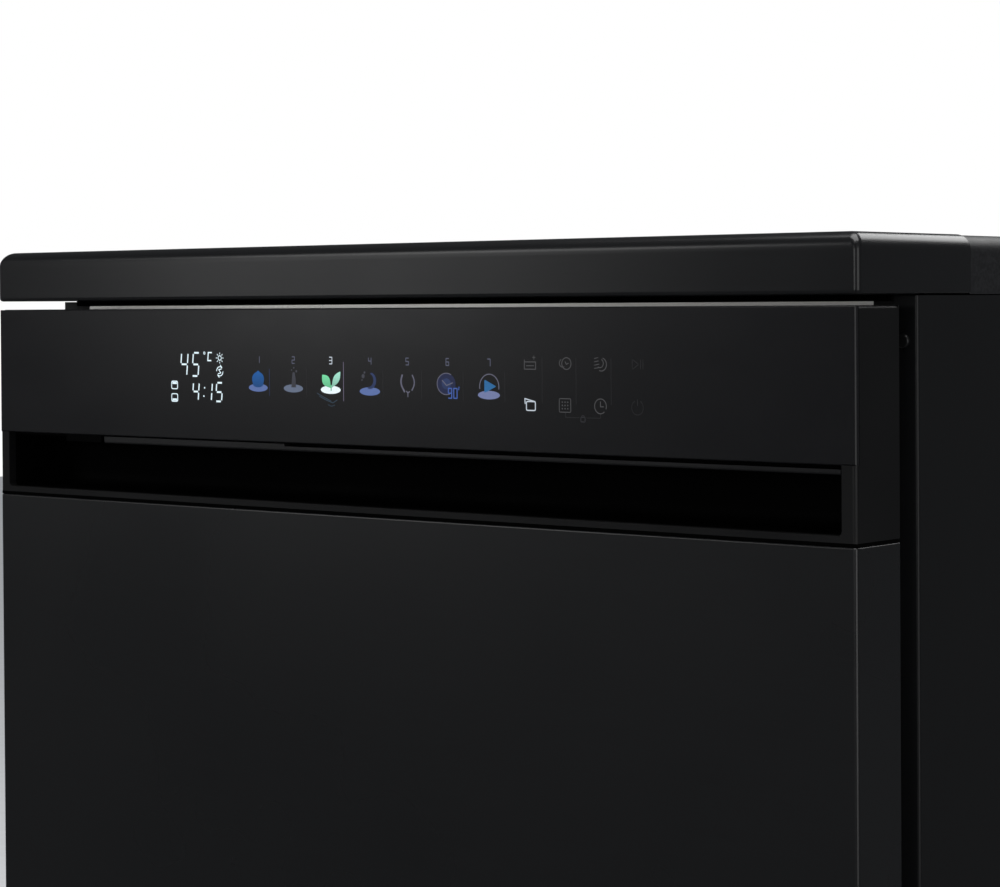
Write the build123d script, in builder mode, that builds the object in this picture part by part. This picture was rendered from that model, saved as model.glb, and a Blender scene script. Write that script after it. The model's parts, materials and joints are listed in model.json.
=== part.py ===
from build123d import *
import os

# Free-standing 60 cm dishwasher with a worktop, a drop-down door and a touch glass control fascia.
# Frame: millimetres, X to the right as seen from the front, front faces -Y, Z up from the floor.

# ---- Driving dimensions -------------------------------------------------------------------
WIDTH = 598.0
DEPTH = 600.0
HEIGHT = 846.0
HALF = WIDTH / 2
FRONT = -DEPTH / 2
REAR = DEPTH / 2
SHEET = 1.0                               # steel sheet

WORKTOP_T = 28.7
WORKTOP_Z = HEIGHT - WORKTOP_T
TRIM_DEPTH = 38.0                         # front bar of the worktop trim
TRIM_RETURN = 100.0                       # how far the trim runs back round each corner
TRIM_WALL = 10.0
TRIM_RADIUS = 8.0
TRIM_FOOT_RADIUS = 2.0

CABINET_FRONT = -249.0
REAR_PANEL_Y = 284.0
PANEL_BOTTOM = 34.0
PANEL_TOP_GAP = 0.5

HINGE_Y = -256.0
HINGE_Z = 130.0
DOOR_HALF = 297.5
DOOR_BACK = -263.0                        # rear edge of the door's outer shell
DOOR_BOTTOM = 124.5
DOOR_SKIN_TOP = 703.4
FASCIA_BOTTOM = 705.2
FASCIA_TOP = 812.4
GLASS_BOTTOM = 740.4
GLASS_T = 2.8
GLASS_HALF = 297.3                        # the glass covers the fascia from side to side
GLASS_FACE = FRONT + 0.2                  # the glass sits a hair behind the fascia's rim
RECESS_HALF = 289.7
RECESS_BOTTOM = 708.4
LIP_WALL = 1.6                            # the lip under the recess
GRIP_BOTTOM = 735.9
GRIP_X0 = -206.0
GRIP_STEP_X = -62.0                       # the grip is a little taller on the left of this
GRIP_X1 = 289.0
FRAME_CORNER = 2.2                        # rounded lower corners of the recess
DISPENSER = (-100.0, 80.0, 405.0, 515.0)    # X from, X to, Z from, Z to of its pocket in the liner
RINSE_X = 45.0
RINSE_Z = 470.0
LINER_HALF = 272.0
LINER_BACK = -249.6
LINER_TOP = 800.0
LINER_BOTTOM = 137.0
FIELD_FACE = -243.0                       # raised field of the liner, on the wet side

TUB_HALF = 270.0
TUB_FLOOR = 150.0
TUB_CEILING = 797.0
TUB_FRONT = -246.0
STRIP_TOP = 814.9                         # top of the bright frame strip seen over the door
STRIP_HALF = 275.3
STRIP_BOTTOM = 798.0
FLANGE_HALF = 285.0                       # outer edge of the tub's front flange
PANEL_FOLD = 286.0                        # inner edge of the side panels' front fold
TUB_BACK = 255.0
JACKET_T = 5.0

ARM_Y = 10.0                              # the lower spray arm turns about X = 0 here
LOWER_ARM_R = 218.0
UPPER_ARM_Y = -5.0
UPPER_ARM_R = 205.0
POST_R = 12.0
UPPER_POST_R = 11.0
RUN = 0.06                                # radial running clearance
SUMP_HALF_X = 124.0
SUMP_HALF_Y = 114.0
SUMP_WALL = 3.0
SUMP_BOTTOM = 92.0
FILTER_X = 60.0
FILTER_Y = -30.0
FILTER_R = 45.0
SALT_X = -190.0
SALT_Y = 150.0
SALT_R = 36.0

BASKET_HALF = 243.0
BASKET_FRONT = -222.0
BASKET_REAR = 212.0
WIRE = 3.0
WELD_GAP = 0.05                           # the welded sides of a basket stay separate solids
UPPER_FLOOR = 500.0
UPPER_RIM = 640.0
LOWER_FLOOR = 200.0
LOWER_RIM = 320.0
WHEEL_R = 18.0
WHEEL_Z = TUB_FLOOR + WHEEL_R
WHEEL_YS = (-150.0, 140.0)
AXLE_R = 3.0
RAIL_Z = 562.0
RAIL_LEN = 450.0
RAIL_FRONT = -235.0
RAIL_BACK_X = 263.7                       # the rails stand off the tub walls, inside the door seal
SEAL_INNER = 262.4
SHELF_X = 236.0
SHELF_Z = 602.0
SHELF_Y0 = -180.0
SHELF_Y1 = 172.0
SHELF_ROD_R = 2.2                         # the shelf turns on its round lower wire
TINES = 10
TINES_X = -190.0
TINE_PITCH = 34.0
TINES_Y = 120.0                           # folding row
TINES_Z = 206.5
FIXED_TINES_Y = -61.5

FOOT_XS = (-262.0, 262.0)
FOOT_YS = (-190.0, 250.0)
FOOT_STEM_R = 5.0

INLET_X = 220.0
INLET_R = 13.2                            # three-quarter inch pipe thread, outside
INLET_NECK_R = 12.0
DRAIN_X = 150.0
DRAIN_R = 9.5
DRAIN_NECK_R = 8.5
NECK_PLAY = 0.2                           # room around each neck in the base tray
PORT_START = 285.0                        # each hose end runs from here to the rear
MAINS_X = 80.0
PORT_Z = 90.0

SPRING_X = 280.0
SPRING_Z = 48.0
SPRING_R = 9.0
SPRING_Y0 = -170.0
SPRING_LEN = 230.0
KICK_HALF = 283.0
KICK_FACE = -238.0
KICK_BOTTOM = 14.0
KICK_TOP = 112.0

SIDES = (("left", -1), ("right", 1))
os.makedirs("parts", exist_ok=True)


# ---- Helpers ------------------------------------------------------------------------------
def slab(x0, x1, y0, y1, z0, z1, mode=Mode.ADD):
    """A block between two corners, added to or cut from the part being built."""
    with Locations((min(x0, x1), min(y0, y1), min(z0, z1))):
        Box(abs(x1 - x0), abs(y1 - y0), abs(z1 - z0), align=(Align.MIN,) * 3, mode=mode)


def rod(axis, centre, radius, length, mode=Mode.ADD):
    """A cylinder that starts at centre and runs along +X, +Y or +Z."""
    turn = {"x": (0, 90, 0), "y": (-90, 0, 0), "z": (0, 0, 0)}[axis]
    with Locations(Location(centre, turn)):
        Cylinder(radius, length, align=(Align.CENTER, Align.CENTER, Align.MIN), mode=mode)


def keep(builder, name):
    """Label a finished piece and write it."""
    builder.part.label = name
    export_step(builder.part, f"parts/{name}.step")


def grid(plane, u0, u1, v0, v1, columns, rows, thick):
    """A flat grid of square wires on a plane, added to the part being built."""
    cell_u = (u1 - u0 - WIRE) / columns
    cell_v = (v1 - v0 - WIRE) / rows
    with BuildSketch(plane) as flat:
        with Locations(((u0 + u1) / 2, (v0 + v1) / 2)):
            Rectangle(u1 - u0, v1 - v0)
            with GridLocations(cell_u, cell_v, columns, rows):
                Rectangle(cell_u - WIRE, cell_v - WIRE, mode=Mode.SUBTRACT)
    extrude(flat.sketch, amount=thick)


# ---- Worktop ------------------------------------------------------------------------------
def worktop():
    inner = HALF - TRIM_WALL
    bar_back = FRONT + TRIM_DEPTH
    return_back = FRONT + TRIM_RETURN
    with BuildPart() as trim:
        with BuildSketch(Plane.XY.offset(WORKTOP_Z)):
            with BuildLine():
                Polyline((-HALF, FRONT), (HALF, FRONT), (HALF, return_back), (inner, return_back),
                         (inner, bar_back), (-inner, bar_back), (-inner, return_back),
                         (-HALF, return_back), close=True)
            make_face()
        extrude(amount=WORKTOP_T)
        fillet(trim.edges().filter_by(Axis.Z).group_by(Axis.Y)[0], 3)
        rim = trim.faces().sort_by(Axis.Z)[-1].edges()
        outer = rim.filter_by(lambda e: e.center().Y < FRONT + 9 or abs(e.center().X) > HALF - 2)
        fillet(outer, TRIM_RADIUS)
        foot = trim.faces().sort_by(Axis.Z)[0].edges()
        fillet(foot.filter_by(lambda e: e.center().Y < FRONT + 9 or abs(e.center().X) > HALF - 2),
               TRIM_FOOT_RADIUS)
    keep(trim, "worktop_trim")

    with BuildPart() as board:
        slab(-inner, inner, bar_back, return_back, WORKTOP_Z, HEIGHT - 0.4)
        slab(-HALF + 0.5, HALF - 0.5, return_back, REAR - 2, WORKTOP_Z, HEIGHT - 0.4)
        top_sides = board.edges().filter_by(Axis.Y).group_by(Axis.Z)[-1]
        fillet(top_sides.filter_by(lambda e: abs(e.center().X) > HALF - 2), TRIM_RADIUS)
        fillet(board.edges().filter_by(Axis.X).group_by(Axis.Z)[-1].sort_by(Axis.Y)[-1], 2)
    keep(board, "worktop_board")


# ---- Outer cabinet ------------------------------------------------------------------------
def side_panels():
    top = WORKTOP_Z - PANEL_TOP_GAP
    for name, s in SIDES:
        with BuildPart() as panel:
            slab(s * (HALF - SHEET), s * HALF, CABINET_FRONT, REAR_PANEL_Y + SHEET, PANEL_BOTTOM, top)
            slab(s * PANEL_FOLD, s * HALF, CABINET_FRONT, CABINET_FRONT + SHEET, PANEL_BOTTOM, top)
            slab(s * PANEL_FOLD, s * (PANEL_FOLD + SHEET), CABINET_FRONT, CABINET_FRONT + 12, PANEL_BOTTOM, top)
            slab(s * 284, s * HALF, REAR_PANEL_Y, REAR_PANEL_Y + SHEET, PANEL_BOTTOM, top)
            slab(s * 277, s * HALF, CABINET_FRONT + 14, REAR_PANEL_Y - 2, top - SHEET, top)
            corner = panel.edges().filter_by(Axis.Z).filter_by(
                lambda e: abs(e.center().X) > HALF - 0.1 and e.center().Y < CABINET_FRONT + 0.1)
            fillet(corner, 1.6)
        keep(panel, f"side_panel_{name}")


def rear_panel():
    with BuildPart() as back:
        slab(-283.5, 283.5, REAR_PANEL_Y - SHEET, REAR_PANEL_Y, 150, WORKTOP_Z - PANEL_TOP_GAP)
        with BuildSketch(Plane.XZ.offset(-REAR_PANEL_Y)):
            with Locations((0, 300)):
                Rectangle(420, 180)
        extrude(amount=-4)
        chamfer(back.faces().sort_by(Axis.Y)[-1].edges(), 3)
    keep(back, "rear_panel")


def kick_plate():
    with BuildPart() as kick:
        back = KICK_FACE + 2
        slab(-KICK_HALF, KICK_HALF, KICK_FACE, back, KICK_BOTTOM, KICK_TOP)
        slab(-KICK_HALF, KICK_HALF, back, back + 10, KICK_TOP - 2, KICK_TOP)
        slab(-KICK_HALF, KICK_HALF, back, back + 10, KICK_BOTTOM, KICK_BOTTOM + 2)
        for s in (-1, 1):
            slab(s * 240, s * 252, back, back + 11, 40, 60)
        fillet(kick.edges().filter_by(Axis.X).group_by(Axis.Y)[0], 1.2)
    keep(kick, "kick_plate")


def base_tray():
    with BuildPart() as tray:
        slab(-297, 297, -225, 284, 24, 27)
        for s in (-1, 1):
            slab(s * 294, s * 297, -225, 284, 27, 70)
            slab(s * 266, s * 284, -225, -205, 27, 70)
        slab(-294, 294, -225, -222, 27, 70)
        slab(-284, 284, 281, 284, 27, 150)
        for x in FOOT_XS:
            for y in FOOT_YS:
                rod("z", (x, y, 27), 14, 33)
                rod("z", (x, y, 24), FOOT_STEM_R + RUN, 36, Mode.SUBTRACT)
        for x, neck in ((INLET_X, INLET_NECK_R), (DRAIN_X, DRAIN_NECK_R), (MAINS_X, 9)):
            rod("y", (x, 281, PORT_Z), neck + NECK_PLAY, 3, Mode.SUBTRACT)
    keep(tray, "base_tray")


def feet():
    for x, side in zip(FOOT_XS, ("left", "right")):
        for y, end in zip(FOOT_YS, ("front", "rear")):
            with BuildPart() as foot:
                rod("z", (x, y, 0), 19, 6)
                with BuildSketch(Plane.XY.offset(6)):
                    with Locations((x, y)):
                        RegularPolygon(12, 6)
                extrude(amount=9)
                rod("z", (x, y, 15), FOOT_STEM_R, 42)
                fillet(foot.edges().group_by(Axis.Z)[0], 2)
            keep(foot, f"foot_{end}_{side}")


def corner_blocks():
    """Black end caps of the tub flange, beside the bright strip under the worktop."""
    with BuildPart() as caps:
        for s in (-1, 1):
            slab(s * STRIP_HALF, s * (FLANGE_HALF + 0.8), CABINET_FRONT, CABINET_FRONT + 12, STRIP_BOTTOM,
                  WORKTOP_Z - 0.6)
    keep(caps, "front_corner_caps")


def screws():
    """Domed screws of the side flanges and of the kick plate."""
    with BuildPart() as heads:
        places = [(s * 291.5, CABINET_FRONT, 795.6) for s in (-1, 1)]
        places += [(s * 246, KICK_FACE, 50) for s in (-1, 1)]
        for place in places:
            with Locations(Location(place, (90, 0, 0))):
                Cylinder(3.4, 1.9, align=(Align.CENTER, Align.CENTER, Align.MIN))
        crowns = [solid.edges().filter_by(GeomType.CIRCLE).sort_by(Axis.Y)[0] for solid in heads.solids()]
        fillet(crowns, 1.2)
    keep(heads, "cabinet_screws")


# ---- Tub ----------------------------------------------------------------------------------
def tub():
    with BuildPart() as wrap:
        with BuildSketch(Plane.XZ.offset(-TUB_FRONT)):
            with Locations((0, TUB_FLOOR - SHEET)):
                Rectangle(2 * (TUB_HALF + SHEET), TUB_CEILING - TUB_FLOOR + 2 * SHEET,
                          align=(Align.CENTER, Align.MIN))
                Rectangle(2 * TUB_HALF, TUB_CEILING - TUB_FLOOR + SHEET,
                          align=(Align.CENTER, Align.MIN), mode=Mode.SUBTRACT)
        extrude(amount=-(TUB_BACK - TUB_FRONT))
        top_corners = wrap.edges().filter_by(Axis.Y)
        fillet(top_corners.filter_by(
            lambda e: e.center().Z > TUB_CEILING - 0.5 and abs(e.center().X) < TUB_HALF + 0.5), 11)
        fillet(wrap.edges().filter_by(Axis.Y).filter_by(
            lambda e: e.center().Z > TUB_CEILING + 0.5 and abs(e.center().X) > TUB_HALF + 0.5), 12)
    keep(wrap, "tub_wrapper")

    with BuildPart() as back:
        slab(-TUB_HALF - SHEET, TUB_HALF + SHEET, TUB_BACK, TUB_BACK + SHEET, 140, TUB_CEILING - 12)
        slab(-TUB_HALF + 11, TUB_HALF - 11, TUB_BACK, TUB_BACK + SHEET, TUB_CEILING - 12, TUB_CEILING + SHEET)
    keep(back, "tub_back")

    with BuildPart() as floor:
        slab(-TUB_HALF, TUB_HALF, TUB_FRONT, TUB_BACK, TUB_FLOOR - SHEET, TUB_FLOOR)
        slab(-262, 262, TUB_FRONT - SHEET, TUB_FRONT, 138, TUB_FLOOR)
        slab(-125, 125, ARM_Y - 115, ARM_Y + 115, TUB_FLOOR - 2, TUB_FLOOR + 1, Mode.SUBTRACT)
        rod("z", (SALT_X, SALT_Y, TUB_FLOOR - 2), 43, 4, Mode.SUBTRACT)
    keep(floor, "tub_floor")

    with BuildPart() as frame:
        y0, y1 = CABINET_FRONT, CABINET_FRONT + SHEET
        slab(-STRIP_HALF, STRIP_HALF, y0, y1, STRIP_BOTTOM, STRIP_TOP)
        slab(-STRIP_HALF, STRIP_HALF, y1, y1 + 12, STRIP_TOP - SHEET, STRIP_TOP)
        for s in (-1, 1):
            wall = TUB_HALF + SHEET
            slab(s * wall, s * FLANGE_HALF, y0, y1, 160, STRIP_BOTTOM)
            slab(s * wall, s * (wall + SHEET), y1, TUB_FRONT + 8, 160, 780)
    keep(frame, "tub_front_frame")

    with BuildPart() as seal:
        y0, y1 = CABINET_FRONT - 0.2, CABINET_FRONT + 11
        for s in (-1, 1):
            slab(s * SEAL_INNER, s * 269.6, y0, y1, 153, 785)
        slab(-269.6, 269.6, y0, y1, 785, 796.6)
        corners = seal.edges().filter_by(Axis.Y).group_by(Axis.Z)[-1]
        fillet(corners, 10.5)
    keep(seal, "tub_seal")

    with BuildPart() as jacket:
        out = TUB_HALF + SHEET + JACKET_T
        for s in (-1, 1):
            slab(s * (TUB_HALF + SHEET), s * out, -235, TUB_BACK, 160, TUB_CEILING + SHEET + JACKET_T)
        slab(-TUB_HALF - 1, TUB_HALF + 1, -235, TUB_BACK, TUB_CEILING + SHEET, TUB_CEILING + SHEET + JACKET_T)
    keep(jacket, "insulation_jacket")


# ---- Water circuit ------------------------------------------------------------------------
def sump():
    with BuildPart() as bowl:
        hx, hy = SUMP_HALF_X, SUMP_HALF_Y
        slab(-hx - 16, hx + 16, ARM_Y - hy - 16, ARM_Y + hy + 16, 146, 149)
        slab(-hx, hx, ARM_Y - hy, ARM_Y + hy, SUMP_BOTTOM, 146)
        slab(-hx + SUMP_WALL, hx - SUMP_WALL, ARM_Y - hy + SUMP_WALL, ARM_Y + hy - SUMP_WALL,
             SUMP_BOTTOM + SUMP_WALL, 149, Mode.SUBTRACT)
        rod("z", (FILTER_X, FILTER_Y, 47), FILTER_R + 5, 48)
        rod("z", (FILTER_X, FILTER_Y, 50), FILTER_R + 2, 50, Mode.SUBTRACT)
        rod("z", (0, ARM_Y, SUMP_BOTTOM), POST_R, 84)
        rod("z", (0, ARM_Y, SUMP_BOTTOM + SUMP_WALL), POST_R - SUMP_WALL, 82, Mode.SUBTRACT)
    keep(bowl, "sump")

    with BuildPart() as plate:
        hx, hy = SUMP_HALF_X + 0.5, SUMP_HALF_Y + 0.5
        slab(-hx, hx, ARM_Y - hy, ARM_Y + hy, 149, TUB_FLOOR)
        rod("z", (FILTER_X, FILTER_Y, 148), FILTER_R + 0.5, 4, Mode.SUBTRACT)
        rod("z", (0, ARM_Y, 148), POST_R + 0.5, 4, Mode.SUBTRACT)
        fillet(plate.edges().filter_by(Axis.Z).filter_by(GeomType.LINE), 10)
    keep(plate, "filter_plate")

    with BuildPart() as cup:
        rod("z", (FILTER_X, FILTER_Y, 60), FILTER_R, 90)
        rod("z", (FILTER_X, FILTER_Y, TUB_FLOOR), FILTER_R + 5, 3)
        rod("z", (FILTER_X, FILTER_Y, 62), FILTER_R - 2, 95, Mode.SUBTRACT)
        slab(FILTER_X - 44, FILTER_X + 44, FILTER_Y - 2, FILTER_Y + 2, TUB_FLOOR, 165)
        fillet(cup.edges().filter_by(Axis.Y).group_by(Axis.Z)[-1], 8)
    keep(cup, "filter_cylinder")


def pumps():
    with BuildPart() as wash:
        rod("x", (44, -165, 88), 44, 34)
        rod("x", (78, -165, 88), 37, 105)
        rod("y", (FILTER_X, -125, 72), 13, 125 + FILTER_Y - FILTER_R - 5)
        slab(90, 170, -190, -140, 27, 56)
        slab(50, 72, -180, -150, 27, 50)
    keep(wash, "circulation_pump")

    with BuildPart() as drain:
        rod("x", (FILTER_X + FILTER_R + 5, FILTER_Y, 68), 21, 24)
        rod("x", (FILTER_X + FILTER_R + 29, FILTER_Y, 68), 17, 40)
    keep(drain, "drain_pump")


def softener():
    with BuildPart() as tank:
        slab(-262, -146, 45, 215, 27, 146)
        rod("z", (SALT_X, SALT_Y, 140), 42.5, 10)
        fillet(tank.edges().filter_by(Axis.Z).filter_by(GeomType.LINE), 12)
        rod("z", (SALT_X, SALT_Y, 60), SALT_R + RUN, 92, Mode.SUBTRACT)
    keep(tank, "water_softener")

    with BuildPart() as cap:
        rod("z", (SALT_X, SALT_Y, 138), SALT_R, 12)
        rod("z", (SALT_X, SALT_Y, TUB_FLOOR), 41, 6)
        slab(SALT_X - 34, SALT_X + 34, SALT_Y - 4, SALT_Y + 4, 156, 166)
        fillet(cap.edges().filter_by(Axis.X).group_by(Axis.Z)[-1], 2)
    keep(cap, "salt_cap")


def rear_connections():
    with BuildPart() as valve:
        slab(INLET_X - 22, INLET_X + 22, 240, 281, PORT_Z - 22, PORT_Z + 22)
        rod("y", (INLET_X, 281, PORT_Z), INLET_NECK_R, 4)
        rod("y", (INLET_X, PORT_START, PORT_Z), INLET_R, REAR - PORT_START)
        rod("y", (INLET_X, 286, PORT_Z), 9, 20, Mode.SUBTRACT)
        rod("z", (INLET_X, 268.5, PORT_Z + 22), 11, 28)
    keep(valve, "inlet_valve")

    with BuildPart() as spigot:
        slab(DRAIN_X - 15, DRAIN_X + 15, 262, 281, PORT_Z - 15, PORT_Z + 15)
        rod("y", (DRAIN_X, 281, PORT_Z), DRAIN_NECK_R, 4)
        rod("y", (DRAIN_X, PORT_START, PORT_Z), DRAIN_R, REAR - PORT_START)
        rod("y", (DRAIN_X, 266, PORT_Z), 7, 40, Mode.SUBTRACT)
    keep(spigot, "drain_spigot")

    with BuildPart() as gland:
        slab(MAINS_X - 22, MAINS_X + 22, 245, 281, PORT_Z - 20, PORT_Z + 20)
        rod("y", (MAINS_X, 281, PORT_Z), 9, 10)
        rod("y", (MAINS_X, 268, PORT_Z), 4, 30, Mode.SUBTRACT)
        fillet(gland.edges().filter_by(GeomType.CIRCLE).sort_by(Axis.Y)[-1], 0.8)
    keep(gland, "mains_gland")


def air_break():
    with BuildPart() as chamber:
        slab(-HALF + SHEET, -TUB_HALF - SHEET - JACKET_T, -60, 140, 200, 620)
        fillet(chamber.edges().filter_by(Axis.X), 18)
    keep(chamber, "air_break")


def spray_duct():
    with BuildPart() as duct:
        slab(-18, 18, 240, TUB_BACK, 152, TUB_CEILING)
        slab(-18, 18, 0, TUB_BACK, 783, TUB_CEILING)
        fillet(duct.edges().filter_by(Axis.Z).filter_by(lambda e: e.length > 300), 5)
        rod("z", (0, 0, 772), 36, 11)
        rod("y", (0, 236, 492), 17, 6)
        rod("y", (0, 234, 492), 9, 12, Mode.SUBTRACT)
        slab(-30, 30, 234, TUB_BACK, TUB_FLOOR, 170)
    keep(duct, "spray_duct")


def spray_arm(name, centre_y, radius, post_r, z0, bore_z):
    """A flat two-bladed arm with a raised hub and a blind bore that starts at bore_z."""
    with BuildPart() as arm:
        with BuildSketch(Plane.XY.offset(z0)):
            with Locations((0, centre_y)):
                with BuildLine():
                    Polyline((-radius + 16, -14), (0, -26), (radius - 16, -14), (radius - 16, 14),
                             (0, 26), (-radius + 16, 14), close=True)
                make_face()
                Circle(30)
            with Locations((-radius + 16, centre_y), (radius - 16, centre_y)):
                Circle(14)
        extrude(amount=12)
        fillet(arm.faces().sort_by(Axis.Z)[-1].edges(), 3)
        rod("z", (0, centre_y, z0 - 4), 20, 20)
        rod("z", (0, centre_y, bore_z), post_r + RUN, 17, Mode.SUBTRACT)
    keep(arm, name)


# ---- Baskets ------------------------------------------------------------------------------
def basket_walls(z0, z1):
    """Floor and four upright walls, each a flat grid that just clears its neighbours."""
    y0, y1, half = BASKET_FRONT, BASKET_REAR, BASKET_HALF
    foot = z0 + WIRE + WELD_GAP
    grid(Plane.XY.offset(z0), -half, half, y0, y1, 9, 8, WIRE)
    for y in (y0 + WIRE, y1):
        grid(Plane.XZ.offset(-y), -half, half, foot, z1, 9, 3, WIRE)
    for x in (-half, half - WIRE):
        grid(Plane.YZ.offset(x), y0 + WIRE + WELD_GAP, y1 - WIRE - WELD_GAP, foot, z1, 8, 3, WIRE)


def basket_grip(rim):
    """A moulded bail clipped to the front wall, its top just above the rim."""
    back = BASKET_FRONT - WELD_GAP
    slab(-70, 70, BASKET_FRONT - 8, back, rim - 28, rim - 18)
    slab(-70, 70, BASKET_FRONT - 8, back, rim - 3, rim + 6)
    for s in (-1, 1):
        slab(s * 56, s * 70, BASKET_FRONT - 8, back, rim - 28, rim + 6)


def upper_basket():
    with BuildPart() as basket:
        basket_walls(UPPER_FLOOR, UPPER_RIM)
        for s in (-1, 1):
            slab(s * (BASKET_HALF + WELD_GAP), s * (BASKET_HALF + 8.5), -215, 205, RAIL_Z - 6, RAIL_Z + 6)
            for y in (-170, 160):
                slab(s * (SHELF_X - 1), s * (BASKET_HALF - WIRE - WELD_GAP), y, y + 6,
                     SHELF_Z - 10, SHELF_Z - 4)
        basket_grip(UPPER_RIM)
    keep(basket, "upper_basket")

    with BuildPart() as pipe:
        slab(-12, 12, UPPER_ARM_Y, BASKET_REAR, 486, UPPER_FLOOR)
        fillet(pipe.edges().filter_by(Axis.Y), 4)
        rod("z", (0, UPPER_ARM_Y, 486), 20, 14)
        rod("z", (0, UPPER_ARM_Y, 470), UPPER_POST_R, 16)
        rod("y", (0, BASKET_REAR, 492), 12, 21)
    keep(pipe, "upper_feed_pipe")

    for name, s in SIDES:
        with BuildPart() as shelf:
            x0 = s * SHELF_X - WIRE / 2
            grid(Plane.YZ.offset(x0), SHELF_Y0, SHELF_Y1, SHELF_Z - WIRE / 2, SHELF_Z + 86, 10, 3, WIRE)
            rod("y", (s * SHELF_X, SHELF_Y0, SHELF_Z), SHELF_ROD_R, SHELF_Y1 - SHELF_Y0)
        keep(shelf, f"cup_shelf_{name}")


def rails():
    """Telescopic runners of the upper basket: C rails on stand-offs and the slides in them."""
    y0, y1 = RAIL_FRONT, RAIL_FRONT + RAIL_LEN
    web, lip = RAIL_BACK_X - 1.5, RAIL_BACK_X - 10
    with BuildPart() as fixed:
        for s in (-1, 1):
            slab(s * web, s * RAIL_BACK_X, y0, y1, RAIL_Z - 14, RAIL_Z + 14)
            for u in (-1, 1):
                slab(s * lip, s * web, y0, y1, RAIL_Z + u * 12.5, RAIL_Z + u * 14)
                slab(s * lip, s * (lip + 1), y0, y1, RAIL_Z + u * 10, RAIL_Z + u * 12.5)
            for y in (-205, -20, 165):
                slab(s * RAIL_BACK_X, s * TUB_HALF, y, y + 22, RAIL_Z - 9, RAIL_Z + 9)
    keep(fixed, "upper_rails")

    with BuildPart() as moving:
        for s in (-1, 1):
            slab(s * (lip + 1.5), s * (web - 0.6), y0 + 4, y1 - 4, RAIL_Z - 11, RAIL_Z + 11)
            slab(s * 252, s * (lip + 1.5), y0 + 4, y1 - 4, RAIL_Z - 6, RAIL_Z + 6)
    keep(moving, "upper_slides")


def lower_basket():
    with BuildPart() as basket:
        basket_walls(LOWER_FLOOR, LOWER_RIM)
        for s in (-1, 1):
            for y in WHEEL_YS:
                slab(s * (BASKET_HALF + WELD_GAP), s * (BASKET_HALF + 3), y - 12, y + 12,
                     WHEEL_Z - 7, LOWER_FLOOR + 20)
                x0 = BASKET_HALF + 3 if s > 0 else -BASKET_HALF - 15
                rod("x", (x0, y, WHEEL_Z), AXLE_R, 12)
        rail_z = LOWER_FLOOR + WIRE + WELD_GAP
        slab(-200, 120, FIXED_TINES_Y, FIXED_TINES_Y + WIRE, rail_z, rail_z + WIRE)
        for i in range(TINES):
            x = TINES_X + i * TINE_PITCH
            slab(x, x + WIRE, FIXED_TINES_Y, FIXED_TINES_Y + WIRE, rail_z + WIRE + WELD_GAP, LOWER_FLOOR + 80)
        basket_grip(LOWER_RIM)
    keep(basket, "lower_basket")

    with BuildPart() as tines:
        rod("x", (-205, TINES_Y, TINES_Z), 1.5, 330)
        for i in range(TINES):
            x = TINES_X + i * TINE_PITCH
            slab(x, x + WIRE, TINES_Y - 1.5, TINES_Y + 1.5, TINES_Z, TINES_Z + 75)
    keep(tines, "folding_tines")

    for end, y in zip(("front", "rear"), WHEEL_YS):
        with BuildPart() as pair:
            for s in (-1, 1):
                x0 = BASKET_HALF + 4 if s > 0 else -BASKET_HALF - 13
                rod("x", (x0, y, WHEEL_Z), WHEEL_R, 9)
                rod("x", (x0 - 1, y, WHEEL_Z), AXLE_R + RUN, 11, Mode.SUBTRACT)
        keep(pair, f"{end}_wheels")


def cutlery_basket():
    x0, x1, y0, y1 = 150.0, 232.0, -150.0, 102.0
    z0, z1, wall = LOWER_FLOOR + WIRE, 325.0, 2.0
    columns, rows = 2, 3
    cell_x = (x1 - x0 - wall) / columns
    cell_y = (y1 - y0 - wall) / rows
    with BuildPart() as box:
        slab(x0, x1, y0, y1, z0, z1)
        with BuildSketch(Plane.XY.offset(z0 + wall)):
            with Locations(((x0 + x1) / 2, (y0 + y1) / 2)):
                with GridLocations(cell_x, cell_y, columns, rows):
                    Rectangle(cell_x - wall, cell_y - wall)
        extrude(amount=z1 - z0, mode=Mode.SUBTRACT)
        middle = (x0 + x1) / 2
        slab(middle - 1, middle + 1, -66, 18, z1, 390)
        slab(middle - 1, middle + 1, -50, 2, z1, 374, Mode.SUBTRACT)
        fillet(box.edges().filter_by(Axis.X).group_by(Axis.Z)[-1], 14)
    keep(box, "cutlery_basket")


# ---- Door ---------------------------------------------------------------------------------
def door_shell():
    with BuildPart() as skin:
        slab(-DOOR_HALF, DOOR_HALF, FRONT, FRONT + SHEET, DOOR_BOTTOM, DOOR_SKIN_TOP)
        slab(-DOOR_HALF, DOOR_HALF, FRONT, DOOR_BACK, DOOR_BOTTOM, DOOR_BOTTOM + SHEET)
        slab(-DOOR_HALF, DOOR_HALF, FRONT, -282, DOOR_SKIN_TOP - SHEET, DOOR_SKIN_TOP)
        for s in (-1, 1):
            slab(s * (DOOR_HALF - SHEET), s * DOOR_HALF, FRONT, DOOR_BACK, DOOR_BOTTOM, DOOR_SKIN_TOP)
            slab(s * LINER_HALF, s * DOOR_HALF, DOOR_BACK - SHEET, DOOR_BACK, DOOR_BOTTOM, DOOR_SKIN_TOP)
        edges = skin.edges().filter_by(Axis.Z).group_by(Axis.Y)[0]
        fillet(edges.filter_by(lambda e: e.length > 300), 2)
        top = skin.edges().filter_by(Axis.X).group_by(Axis.Z)[-1].sort_by(Axis.Y)[0]
        fillet(top, 0.9)
    keep(skin, "door_outer_panel")


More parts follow.
